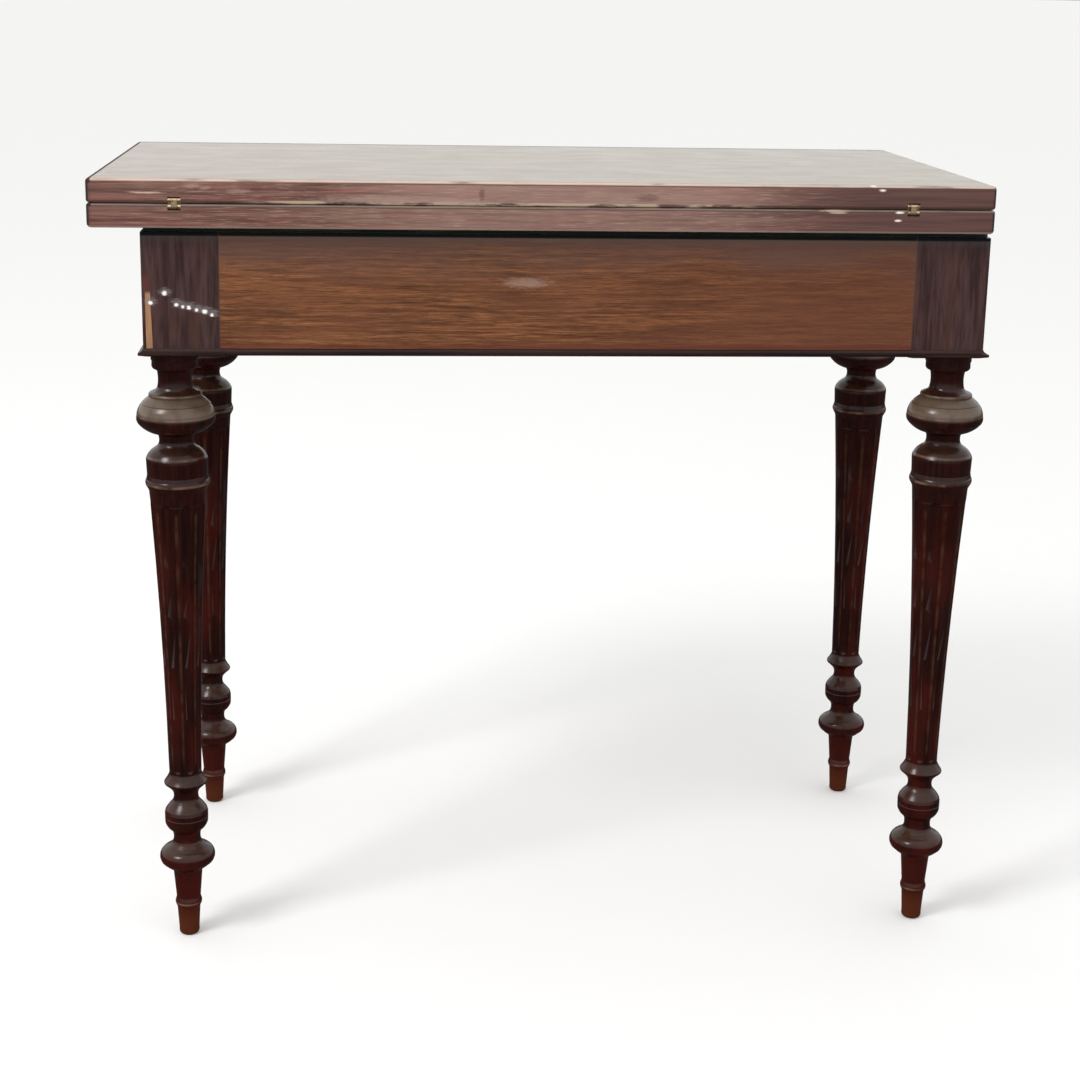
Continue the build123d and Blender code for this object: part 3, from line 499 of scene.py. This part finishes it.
def apron_veneer(woods, wear_and_light, along, seed):
    """Straight-grained mahogany veneer of a rail: warm brown with short dark pores drawn out along
    the grain, bloomed purple near the top, a redder band at the foot, satin polish. Real pores are
    about 0.2 by 2 mm and are drawn coarser so that they show."""
    material, place = new_material("apron_mahogany_veneer_" + "xyz"[along])
    (left, front, foot), (right, _, top) = corners_mm("veneer_front" if along == X else "veneer_left")
    colour, fibres = sawn(
        place, along, woods.apron_dark, woods.apron_light, (1.0, 24.0), (3.0, 80.0), 0.55, seed)
    pores = patches(place, streak(along, 0.9, 9.0), 0.52, 0.68, 0.0, 0.5, detail=2, seed=seed + 9)
    colour = painted(colour, woods.apron_pores, pores)
    bands = {"size": (120.0, 120.0, 30.0), "seed": seed + 2}
    colour = painted(
        colour, woods.apron_ribbon, patches(place, low=0.42, high=0.66, to_high=0.45, **bands))
    if along == X:
        redder = slope(place, X, left + 250.0, right - 40.0, 0.0, 0.6)
        colour = painted(colour, woods.apron_redder, redder)
    bloom = slope(place, Z, top - 22.0, top + 26.0, wander=lumps(place, **bands), reach=56.0)
    colour = painted(colour, woods.apron_cloud, bloom, 0.75)
    colour = painted(colour, wear_and_light.apron_bloom, slope(place, Z, top - 9.0, top - 2.0), 0.4)
    # Painted shadow: a dark line along the top edge, in the gap under the top
    colour = painted(colour, wear_and_light.shadow_line, slope(place, Z, top - 3.8, top - 2.4))
    colour = painted(colour, wear_and_light.apron_foot, slope(place, Z, foot + 6.0, foot + 2.5), 0.65)
    if along == X:
        # The joint with each post, and a pressed and bloomed place left of the middle
        joints = any_of(*(band(place, X, end, 0.5, 0.7) for end in (left, right)))
        colour = painted(colour, wear_and_light.apron_joint, joints, 0.5)
        colour = marked(
            place, colour, wear_and_light.dent_shade, 0.45, 1.4, seed + 4, (left, front),
            [(288.0, foot + 44.0, 55.0, 3.0, 12.0)])
        colour = marked(
            place, colour, wear_and_light.dent, 0.6, 1.4, seed + 5, (left, front),
            [(285.0, foot + 63.0, 30.0, 3.0, 7.0)])
    rough = patches(place, low=0.3, high=0.7, to_low=0.36, to_high=0.5, **bands)
    return shaded(
        material, {"Base Color": colour, "Roughness": rough, "Specular IOR Level": 0.2}, fibres, 0.05)


def post_rosewood(woods, wear_and_light):
    """Dark rosewood of the corner posts, grain upright, with a painted shadow along the top. On the
    front left one the polish is crushed along a slanting line, with painted glints where its dents
    catch the light, and a strip of the veneer's outer edge is gone."""
    material, place = new_material("post_rosewood_polish")
    (left, front, foot), (_, _, top) = corners_mm("post_front_left")
    face = (left, front)
    colour, fibres = sawn(
        place, Z, woods.post_dark, woods.post_light, (1.1, 16.0), (5.0, 60.0), 0.2, 41.0)
    warm = patches(place, (11.0, 11.0, 60.0), 0.5, 0.7, seed=45.0)
    colour = painted(colour, woods.post_warm, warm, 0.3)
    colour = painted(colour, wear_and_light.post_bloom, slope(place, Z, top - 12.0, top - 2.0), 0.4)
    # Painted shadow: a dark line along the top edge, in the gap under the top
    colour = painted(colour, wear_and_light.shadow_line, slope(place, Z, top - 3.8, top - 2.4))
    colour = marked(
        place, colour, wear_and_light.red_stain, 0.7, 0.5, 46.0, face, [(4.0, foot + 60.0, 4.0, 3.0, 12.0)])

    # The lost strip, on the front alone, narrows by 1 mm upwards and ends under the red stain
    narrowing = slope(place, Z, foot, foot + 50.0)
    lost = all_of(
        slope(place, X, left + 3.2, left + 3.25),
        slope(place, X, left + 9.0, left + 8.95, wander=narrowing, reach=1.0),
        slope(place, Z, foot + 54.0, foot + 50.0), slope(place, Y, 1.0, -1.0),
        facing(place, Y, -0.7, -0.9))
    colour = painted(colour, painted(wear_and_light.lost_gaps, wear_and_light.lost_veneer, fibres), lost)

    # Crushed polish: a row of painted glints, where its dents catch the light, over a grey bloom
    line = (
        (8.0, 42.5, 2.6), (21.0, 51.5, 3.1), (31.5, 41.0, 2.4), (37.5, 38.8, 2.0), (43.0, 38.2, 2.6),
        (50.0, 36.0, 2.1), (57.5, 34.5, 3.4), (64.0, 31.5, 2.0))
    blooms = [(x + 1.0, foot + z + 1.5, 8.0, 3.0, 5.0) for x, z, size in line]
    dent_glints = [(x, foot + z, size, 3.0, size) for x, z, size in line]
    colour = marked(place, colour, wear_and_light.crushed, 0.5, 1.5, 47.0, face, blooms)
    # Painted glints: bright spots where the dents in the polish catch the light
    colour = marked(place, colour, wear_and_light.dent_glints, 0.95, 1.2, 56.0, face, dent_glints)
    rough = patches(place, (60.0, 60.0, 30.0), 0.3, 0.7, 0.28, 0.44, seed=43.0)
    return shaded(
        material, {"Base Color": colour, "Roughness": rough, "Specular IOR Level": 0.22}, fibres, 0.05)


def moulding_wood(woods, wear_and_light):
    """Dark stained beech of the small mouldings, polished with the rest, dusty and with a painted sheen
    on its upper side.
    """
    material, place = new_material("moulding_stained_beech")
    colour, fibres = sawn(
        place, X, woods.moulding_dark, woods.moulding_light, (0.9, 40.0), (5.0, 140.0), 0.3, 51.0)
    # Dust, and a painted sheen of the bright room, on the upper side
    colour = painted(colour, wear_and_light.ledge_dust_and_sheen, facing(place, Z, 0.2, 0.7), 0.25)
    return shaded(
        material, {"Base Color": colour, "Roughness": 0.34, "Specular IOR Level": 0.2}, fibres, 0.04)


def between_flutes(place):
    """1 on the arrises between the flutes of a leg. The four legs mirror each other, so one folded
    place serves them all, and the cosine of its angle round the leg's axis peaks at each arris."""
    tree = place.id_data
    low, high = corners_mm("leg_front_right")
    centre = (corners_mm("leg_front_left")[0][0] + high[0]) / 2
    axis = ((low[0] + high[0]) / 2 - centre, -(low[1] + high[1]) / 2, 0.0)
    for operation, term in (
            ("SUBTRACT", (centre, 0.0, 0.0)), ("ABSOLUTE", (0.0, 0.0, 0.0)), ("SUBTRACT", axis)):
        place = add_node(
            tree, "ShaderNodeVectorMath", {"operation": operation, 0: place, 1: term}).outputs[0]
    sides = add_node(tree, "ShaderNodeSeparateXYZ", {0: place}).outputs
    value = add_node(tree, "ShaderNodeMath", {"operation": "ARCTAN2", 0: sides[Y], 1: sides[X]})
    value = all_of(value.outputs[0], FLUTES)
    value = add_node(tree, "ShaderNodeMath", {"operation": "COSINE", 0: value}).outputs[0]
    return add_node(tree, "ShaderNodeMapRange", {**SMOOTH, 0: value, 1: 0.75, 2: 0.98}).outputs[0]


def leg_polish(woods, wear_and_light):
    """Turned legs in dark stained rosewood under a thick polish: nearly black red-brown, redder
    where light comes back through the polish, olive-grey with old wax and a painted sheen on every
    upper side, beads rubbed paler with a painted highlight on the collar, a painted sheen round the
    bulbs, painted highlights on the flute arrises, feet worn to warm brown."""
    material, place = new_material("leg_rosewood_gloss")
    patchy = functools.partial(patches, place, (14.0, 14.0, 14.0), detail=4, seed=66.0)
    colour, fibres = sawn(
        place, Z, woods.leg_dark, woods.leg_light, (0.8, 30.0), (4.0, 160.0), 0.1, 61.0)
    glow = patches(place, (26.0, 26.0, 90.0), 0.4, 0.66, seed=64.0)
    colour = painted(colour, woods.leg_glow, glow, slope(place, Z, 470.0, 330.0, 0.15, 0.55))
    colour = painted(colour, woods.leg_glow, slope(place, Z, 110.0, 60.0, 0.0, 0.5))
    colour = painted(colour, woods.leg_foot, slope(place, Z, 42.0, 12.0, 0.0, 0.8))
    # Painted highlight on the arrises between the flutes, where their edges catch the light, patchy like
    # rubbing
    colour = painted(
        colour, wear_and_light.flute_rub_and_highlight, between_flutes(place), slope(place, Z, 446.0, 438.0),
        slope(place, Z, 182.0, 190.0), patchy(0.3, 0.65, 0.05, 0.5))

    # Rubbed beads, and a slim painted highlight on the collar's shoulder: (height above the floor, half
    # width), read off the turning
    beads = ((470.5, 0.6), (496.5, 0.4), (536.5, 0.2), (556.5, 0.3), (34.8, 0.4))
    rubbed = any_of(*(band(place, Z, height, half, 1.2) for height, half in beads))
    colour = painted(colour, wear_and_light.bead_rub_and_highlight, rubbed, patchy(0.35, 0.65, 0.1, 0.7))
    # Painted sheen round the widest part of each bulb, standing for a highlight, patchy like rubbing
    bulb_sheen_band = band(place, Z, 546.0, 5.0, 7.5)
    colour = painted(colour, wear_and_light.bulb_rub_and_sheen, bulb_sheen_band, patchy(0.25, 0.6, 0.4, 0.8))
    turned = any_of(slope(place, Z, 434.0, 440.0, 0.0, 0.45), slope(place, Z, 180.0, 176.0))
    # Old wax, and a painted sheen of the sky, on the upper sides of the turnings
    colour = painted(
        colour, wear_and_light.ledge_dust_and_sheen, facing(place, Z, 0.1, 0.8), turned, patchy(0.25, 0.6, 0.35, 0.8))
    rough = patchy(0.3, 0.7, 0.16, 0.27)
    return shaded(
        material, {"Base Color": colour, "Roughness": rough, "Specular IOR Level": 0.3}, fibres, 0.02)


def bare_oak(woods, along):
    """Planed oak inside the frame, never polished: open straight grain, dull, a little dusty."""
    material, place = new_material("bare_planed_oak_" + "xyz"[along])
    colour, fibres = sawn(
        place, along, woods.oak_dark, woods.oak_light, (1.0, 30.0), (8.0, 200.0), 0.4, 71.0 + along)
    return shaded(material, {"Base Color": colour, "Roughness": 0.75}, fibres, 0.15)


def aged_brass(metals):
    """Rolled brass of the hinges, gone dull and brown with bright rubbed spots."""
    material, place = new_material("hinge_aged_brass")
    mottle = {"size": (5.0, 5.0, 5.0), "detail": 5, "rough": 0.65, "seed": 81.0}
    colour = painted(metals.brass, metals.tarnish, patches(place, low=0.5, high=0.68, **mottle))
    rough = patches(place, low=0.35, high=0.65, to_low=0.28, to_high=0.5, **mottle)
    return shaded(
        material, {"Base Color": colour, "Roughness": rough, "Metallic": 1.0},
        lumps(place, **mottle), 0.04)


def blackened_iron(metals):
    """Cast iron of the pivot plates, blackened, with a pebbled cast skin and a little rust."""
    material, place = new_material("pivot_blackened_iron")
    skin = lumps(place, (1.6, 1.6, 1.6), detail=4, rough=0.6, seed=91.0)
    rust = patches(place, (14.0, 14.0, 14.0), 0.56, 0.72, seed=92.0)
    colour = painted(metals.iron, metals.rust, rust)
    rough = add_node(
        material.node_tree, "ShaderNodeMapRange", {**SMOOTH, 0: rust, 3: 0.5, 4: 0.8}).outputs[0]
    return shaded(
        material, {"Base Color": colour, "Roughness": rough, "Metallic": 0.8}, skin, 0.15)


def screw_steel(metals):
    """Mild steel screws and nut, dulled by handling, with fine turning marks."""
    material, place = new_material("fastener_dull_steel")
    turning = {"size": (0.6, 0.6, 6.0), "detail": 4, "rough": 0.6, "seed": 95.0}
    marks = lumps(place, **turning)
    rough = patches(place, low=0.3, high=0.7, to_low=0.3, to_high=0.48, **turning)
    colour = painted(metals.steel, metals.steel_marks, marks)
    return shaded(
        material, {"Base Color": colour, "Roughness": rough, "Metallic": 1.0}, marks, 0.03)


def woven_cloth(name, colour, worn, thread_mm, seed):
    """Napped wool cloth: a faint crossed weave under a soft nap, thin and pale where rubbed."""
    material, place = new_material(name)
    tree = material.node_tree
    threads = add_node(
        tree, "ShaderNodeVectorMath", {"operation": "DIVIDE", 0: place, 1: (thread_mm,) * 3})
    # At this scale a wave has one band to each thread
    warp, weft = (
        add_node(tree, "ShaderNodeTexWave", {
            "bands_direction": way, "Vector": threads.outputs["Vector"], "Scale": ONE_BAND})
        for way in "XY")
    weave = all_of(warp.outputs["Fac"], weft.outputs["Fac"])
    nap = lumps(place, (2.2, 2.2, 2.2), detail=5, rough=0.7, seed=seed)
    rubbed = patches(place, (90.0, 90.0, 90.0), 0.5, 0.7, detail=4, seed=seed + 1)
    shade = painted(colour, BLACK, nap, 0.45)
    shade = painted(shade, worn, rubbed, 0.4)
    height = add_node(tree, "ShaderNodeMath", {"operation": "MULTIPLY_ADD", 0: nap, 1: 0.6, 2: weave})
    return shaded(material, {
        "Base Color": shade, "Roughness": 0.95, "Specular IOR Level": 0.1, "Sheen Weight": 0.3,
        "Sheen Roughness": 0.5}, height.outputs[0], 0.12)


def finish_nodes(material, *names):
    """Give CAD nodes one material."""
    for name in names:
        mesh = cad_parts[name].data
        mesh.materials.clear()
        mesh.materials.append(material)


# Surfaces


def mesh_piece(name, points, faces, material):
    """A smooth-shaded object at the origin, from points in metres and faces."""
    mesh = bpy.data.meshes.new(name)
    mesh.from_pydata(points.tolist(), [], faces)
    mesh.materials.append(material)
    mesh.polygons.foreach_set("use_smooth", np.ones(len(mesh.polygons), dtype=bool))
    mesh.update()
    piece = bpy.data.objects.new(name, mesh)
    bpy.context.scene.collection.objects.link(piece)
    return piece


def grid_faces(rows, columns, wrap=False):
    """Quads of a rows by columns grid of points, joined round along the columns if wrap."""
    row = np.arange(rows - 1)[:, None]
    column = np.arange(columns if wrap else columns - 1)[None, :]
    right = (column + 1) % columns
    quads = np.stack(
        [row * columns + column, row * columns + right,
         (row + 1) * columns + right, (row + 1) * columns + column], axis=-1)
    return quads.reshape(-1, 4).tolist()


def laid_cloth(name, node, radius, step, cockle, material, up=1):
    """A closed flat cloth with rounded corners that fills a CAD node's box.

    A point of the unit square (u, v) goes to x = half width * u, y = half depth * v, and is drawn
    in towards the corner circle where it lies past one. The face's height is the cloth's
    thickness less a small sum of sines, and falls along a quarter circle at the rim. The face
    looks up, or down where up is -1, and the back is flat.
    """
    low, high = (np.array(c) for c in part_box(node))
    middle, half = (low + high) / 2, (high - low) / 2
    columns = int(2 * half[0] / step) + 1
    rows = int(2 * half[1] / step) + 1
    x = np.linspace(-half[0], half[0], columns)[None, :] * np.ones((rows, 1))
    y = np.linspace(-half[1], half[1], rows)[:, None] * np.ones((1, columns))
    past_x = np.clip(np.abs(x) - (half[0] - radius), 0, None)
    past_y = np.clip(np.abs(y) - (half[1] - radius), 0, None)
    reach = np.maximum(np.hypot(past_x, past_y), 1e-9)
    shrink = np.where((past_x > 0) & (past_y > 0), np.maximum(past_x, past_y) / reach, 1.0)
    x = np.sign(x) * (np.abs(x) - past_x + past_x * shrink)
    y = np.sign(y) * (np.abs(y) - past_y + past_y * shrink)
    thick = high[2] - low[2]
    # Waves of 37 to 81 radians to the metre, so 80 to 170 mm long
    wave = np.sin(x * 37) * np.sin(y * 53 + 1.3) + np.sin(x * 81 + y * 64) * 0.5
    edge = np.minimum(half[0] - np.abs(x), half[1] - np.abs(y))
    fall = 1 - np.sqrt(1 - np.clip(1 - edge / (2 * thick), 0, 1) ** 2)
    face = thick - cockle * (wave + 1.5) / 3 - fall * thick * 0.5
    back_z, face_z = (low[2], low[2] + face) if up > 0 else (high[2], high[2] - face)
    top = np.stack([x + middle[0], y + middle[1], face_z * np.ones_like(x)], axis=-1)
    bottom = np.stack([x + middle[0], y + middle[1], back_z * np.ones_like(x)], axis=-1)
    points = np.concatenate([top.reshape(-1, 3), bottom.reshape(-1, 3)])
    count = rows * columns
    faces = grid_faces(rows, columns)
    under = [[count + i for i in reversed(quad)] for quad in faces]
    ring = np.concatenate([
        np.arange(columns), np.arange(1, rows) * columns + columns - 1,
        np.arange(columns - 2, -1, -1) + (rows - 1) * columns,
        np.arange(rows - 2, 0, -1) * columns])
    after = np.roll(ring, -1)
    side = np.stack([ring, ring + count, after + count, after], axis=-1).tolist()
    faces = faces + under + side
    if up < 0:
        faces = [quad[::-1] for quad in faces]
    return mesh_piece(name, points, faces, material)


def felt_strip(name, node, step, material, phase):
    """A felted strip: a rounded-rectangle section carried along the box's long side.

    The section is a superellipse of power 5, |a|^5 + |b|^5 = 1, scaled to the box. Its width
    draws in by a few hundredths along the run as sines of the distance, and the ends are flat.
    """
    low, high = (np.array(c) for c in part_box(node))
    middle, half = (low + high) / 2, (high - low) / 2
    along = 0 if half[0] > half[1] else 1
    across = 1 - along
    turn = np.linspace(0, math.tau, 24, endpoint=False)
    a, b = (np.sign(wave) * np.abs(wave) ** (2 / 5) for wave in (np.cos(turn), np.sin(turn)))
    stations = np.linspace(-half[along], half[along], int(2 * half[along] / step) + 1)
    slow, fast = (1 + np.sin(stations * rate + phase) for rate in (61, 157))
    narrow = 1 - 0.02 * slow - 0.015 * fast
    points = np.zeros((len(stations), len(turn), 3))
    points[..., along] = stations[:, None]
    points[..., across] = narrow[:, None] * a[None, :] * half[across]
    points[..., 2] = b[None, :] * half[2]
    points = points.reshape(-1, 3) + middle
    faces = grid_faces(len(stations), len(turn), wrap=True)
    last = (len(stations) - 1) * len(turn)
    faces.append(list(range(len(turn)))[::-1])
    faces.append([last + i for i in range(len(turn))])
    if along == 0:
        faces = [face[::-1] for face in faces]
    return mesh_piece(name, points, faces, material)


# Operators


class CARDTABLE_OT_playing_cloths(bpy.types.Operator):
    """Lay the baize in both leaves"""

    bl_idname = "cardtable.playing_cloths"
    bl_label = "Playing Cloths"

    def execute(self, context):
        cloths = context.scene.cardtable_cloths
        material = woven_cloth(
            "baize_napped_wool", cloths.baize, cloths.baize_worn, cloths.thread / MM, 101.0)
        for name, leaf, body, up in (
                ("baize_upper", "upper_leaf", "upper_top", -1),
                ("baize_lower", "lower_leaf", "lower_top", 1)):
            piece = laid_cloth(
                "cloth_" + name, name, BAIZE_CORNER, cloths.step, cloths.cockle, material, up)
            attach(piece, body)
            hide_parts(name)
        return {"FINISHED"}


class CARDTABLE_OT_glide_strips(bpy.types.Operator):
    """Lay the felted strips that the top slides on"""

    bl_idname = "cardtable.glide_strips"
    bl_label = "Glide Strips"

    def execute(self, context):
        cloths = context.scene.cardtable_cloths
        material = woven_cloth(
            "glide_felted_wool", cloths.felt, cloths.felt_worn, cloths.thread / MM, 111.0)
        for i, side in enumerate(SIDES):
            node = "glide_" + side
            piece = felt_strip("felt_" + node, node, cloths.step, material, 1.7 * i)
            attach(piece, "base")
            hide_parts(node)
        return {"FINISHED"}


class CARDTABLE_OT_well_lining(bpy.types.Operator):
    """Lay the cloth on the floor of the card well"""

    bl_idname = "cardtable.well_lining"
    bl_label = "Well Lining"

    def execute(self, context):
        cloths = context.scene.cardtable_cloths
        material = woven_cloth(
            "lining_plain_wool", cloths.lining, cloths.lining_worn, cloths.thread / MM, 121.0)
        piece = laid_cloth(
            "cloth_well_lining", "well_lining", LINING_CORNER, cloths.step, cloths.cockle, material)
        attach(piece, "base")
        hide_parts("well_lining")
        return {"FINISHED"}


class CARDTABLE_OT_leaf_polish(bpy.types.Operator):
    """Polish the two leaves"""

    bl_idname = "cardtable.leaf_polish"
    bl_label = "Leaf Polish"

    def execute(self, context):
        scene = context.scene
        finish_nodes(leaf_rosewood(scene.cardtable_woods, scene.cardtable_wear), *LEAVES)
        return {"FINISHED"}


class CARDTABLE_OT_frame_polish(bpy.types.Operator):
    """Polish the veneers, the posts and the mouldings"""

    bl_idname = "cardtable.frame_polish"
    bl_label = "Frame Polish"

    def execute(self, context):
        woods, wear_and_light = context.scene.cardtable_woods, context.scene.cardtable_wear
        finish_nodes(apron_veneer(woods, wear_and_light, X, 21.0), "veneer_front", "veneer_back")
        finish_nodes(apron_veneer(woods, wear_and_light, Y, 31.0), "veneer_left", "veneer_right")
        finish_nodes(post_rosewood(woods, wear_and_light), *("post_" + corner for corner in CORNERS))
        finish_nodes(
            moulding_wood(woods, wear_and_light), *("cap_" + corner for corner in CORNERS),
            *("bead_" + side for side in SIDES))
        return {"FINISHED"}


class CARDTABLE_OT_leg_polish(bpy.types.Operator):
    """Polish the four turned legs"""

    bl_idname = "cardtable.leg_polish"
    bl_label = "Leg Polish"

    def execute(self, context):
        woods, wear_and_light = context.scene.cardtable_woods, context.scene.cardtable_wear
        finish_nodes(leg_polish(woods, wear_and_light), *("leg_" + corner for corner in CORNERS))
        return {"FINISHED"}


class CARDTABLE_OT_inner_frame(bpy.types.Operator):
    """Give the inner frame its bare oak"""

    bl_idname = "cardtable.inner_frame"
    bl_label = "Inner Frame"

    def execute(self, context):
        woods = context.scene.cardtable_woods
        finish_nodes(
            bare_oak(woods, X), "rail_front", "rail_back", "well_floor", "floor_batten_front",
            "floor_batten_back")
        finish_nodes(
            bare_oak(woods, Y), "rail_left", "rail_right", "pivot_rail", "well_partition",
            "floor_batten_end", "stop_block")
        return {"FINISHED"}


class CARDTABLE_OT_metalwork(bpy.types.Operator):
    """Finish the hinges and the pivot"""

    bl_idname = "cardtable.metalwork"
    bl_label = "Metalwork"

    def execute(self, context):
        metals = context.scene.cardtable_metals
        hinges = [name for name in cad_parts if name.startswith("hinge_")]
        finish_nodes(aged_brass(metals), *hinges, "thrust_washer")
        finish_nodes(blackened_iron(metals), "bearing_plate", "pivot_plate")
        finish_nodes(
            screw_steel(metals), "bearing_plate_screws", "pivot_plate_screws", "pivot_stud",
            "lower_washer", "pivot_nut")
        return {"FINISHED"}


# Studio


def studio_floor(material, reach=400.0):
    """A flat square floor at height zero, reach metres each way."""
    points = np.array([(-1, -1, 0), (1, -1, 0), (1, 1, 0), (-1, 1, 0)]) * reach
    return mesh_piece("studio_floor", points, [[0, 1, 2, 3]], material)


def pale_floor(colour):
    """Painted studio floor, rolled on and dead matt, with a barely visible mottle."""
    material, place = new_material("studio_pale_paint")
    mottle = lumps(place, (60.0, 60.0, 60.0), detail=4, seed=131.0)
    dimmed = painted(colour, BLACK, mottle, 0.015)
    return shaded(material, {"Base Color": dimmed, "Roughness": 0.9, "Specular IOR Level": 0.1})


def room_light(sky, below):
    """Even white light from the whole sky. Polish that faces down mirrors the dark ground under it,
    because the floor doesn't show in reflections."""
    world = bpy.data.worlds.new("studio_room")
    world.use_nodes = True
    tree = world.node_tree
    background = tree.nodes["Background"]
    background.inputs["Color"].default_value = (1.0, 1.0, 1.0, 1.0)
    towards = add_node(tree, "ShaderNodeTexCoord", {}).outputs["Object"]
    strength = slope(towards, Z, -0.03, 0.03, below, sky)
    tree.links.new(strength, background.inputs["Strength"])
    return world


def area_light(name, place, target, size, power):
    """A flat soft light of size metres at place, facing target."""
    data = bpy.data.lights.new(name, "AREA")
    data.shape = "RECTANGLE"
    data.size, data.size_y = size
    data.energy = power
    light = bpy.data.objects.new(name, data)
    away = Vector(place) - Vector(target)
    light.matrix_world = Matrix.Translation(place) @ away.to_track_quat("Z", "Y").to_matrix().to_4x4()
    light.visible_camera = False
    bpy.context.scene.collection.objects.link(light)


class CARDTABLE_OT_studio(bpy.types.Operator):
    """Make the floor, the light and the camera"""

    bl_idname = "cardtable.studio"
    bl_label = "Studio"

    def execute(self, context):
        studio = context.scene.cardtable_studio
        floor = studio_floor(pale_floor(studio.floor))
        floor.visible_glossy = False
        context.scene.world = room_light(studio.sky, studio.below)
        area_light(
            "studio_key", place=(-2.2, -1.6, 2.8), target=(0, 0, 0.5), size=(1.0, 1.0),
            power=studio.key)
        context.scene.view_settings.view_transform = "Standard"
        pitch, yaw, roll = studio.pitch, studio.yaw, studio.roll
        forward = Vector((
            math.sin(yaw) * math.cos(pitch), math.cos(yaw) * math.cos(pitch), -math.sin(pitch)))
        level = Vector((math.cos(yaw), -math.sin(yaw), 0))
        above = level.cross(forward)
        right = math.cos(roll) * level + math.sin(roll) * above
        up = math.cos(roll) * above - math.sin(roll) * level
        data = bpy.data.cameras.new("studio_camera")
        data.sensor_width = 36
        data.lens = studio.focal
        data.shift_y = studio.shift
        camera = bpy.data.objects.new("studio_camera", data)
        turned = Matrix((right, up, -forward)).transposed().to_4x4()
        camera.matrix_world = Matrix.Translation(studio.eye) @ turned
        context.scene.collection.objects.link(camera)
        context.scene.camera = camera
        return {"FINISHED"}


class CARDTABLE_PT_panel(bpy.types.Panel):
    """The steps of the card table's dressing"""

    bl_idname = "CARDTABLE_PT_panel"
    bl_label = "Card Table"
    bl_space_type = "VIEW_3D"
    bl_region_type = "UI"
    bl_category = "Card Table"

    def draw(self, context):
        for step in STEPS:
            self.layout.operator(step.bl_idname)


GROUPS = {
    "cardtable_woods": CARDTABLE_PG_woods,
    "cardtable_wear": CARDTABLE_PG_wear_and_light,
    "cardtable_metals": CARDTABLE_PG_metals,
    "cardtable_cloths": CARDTABLE_PG_cloths,
    "cardtable_studio": CARDTABLE_PG_studio,
}
STEPS = (
    CARDTABLE_OT_playing_cloths,
    CARDTABLE_OT_glide_strips,
    CARDTABLE_OT_well_lining,
    CARDTABLE_OT_leaf_polish,
    CARDTABLE_OT_frame_polish,
    CARDTABLE_OT_leg_polish,
    CARDTABLE_OT_inner_frame,
    CARDTABLE_OT_metalwork,
    CARDTABLE_OT_studio,
)


def register():
    for group in GROUPS.values():
        bpy.utils.register_class(group)
    for step in (*STEPS, CARDTABLE_PT_panel):
        bpy.utils.register_class(step)
    for name, group in GROUPS.items():
        setattr(bpy.types.Scene, name, bpy.props.PointerProperty(type=group))


def unregister():
    for name in GROUPS:
        delattr(bpy.types.Scene, name)
    for step in (*STEPS, CARDTABLE_PT_panel):
        bpy.utils.unregister_class(step)
    for group in GROUPS.values():
        bpy.utils.unregister_class(group)


def main():
    """Run every step in order."""
    register()
    for step in STEPS:
        section, call = step.bl_idname.split(".")
        getattr(getattr(bpy.ops, section), call)()


if __name__ == "__main__":
    main()
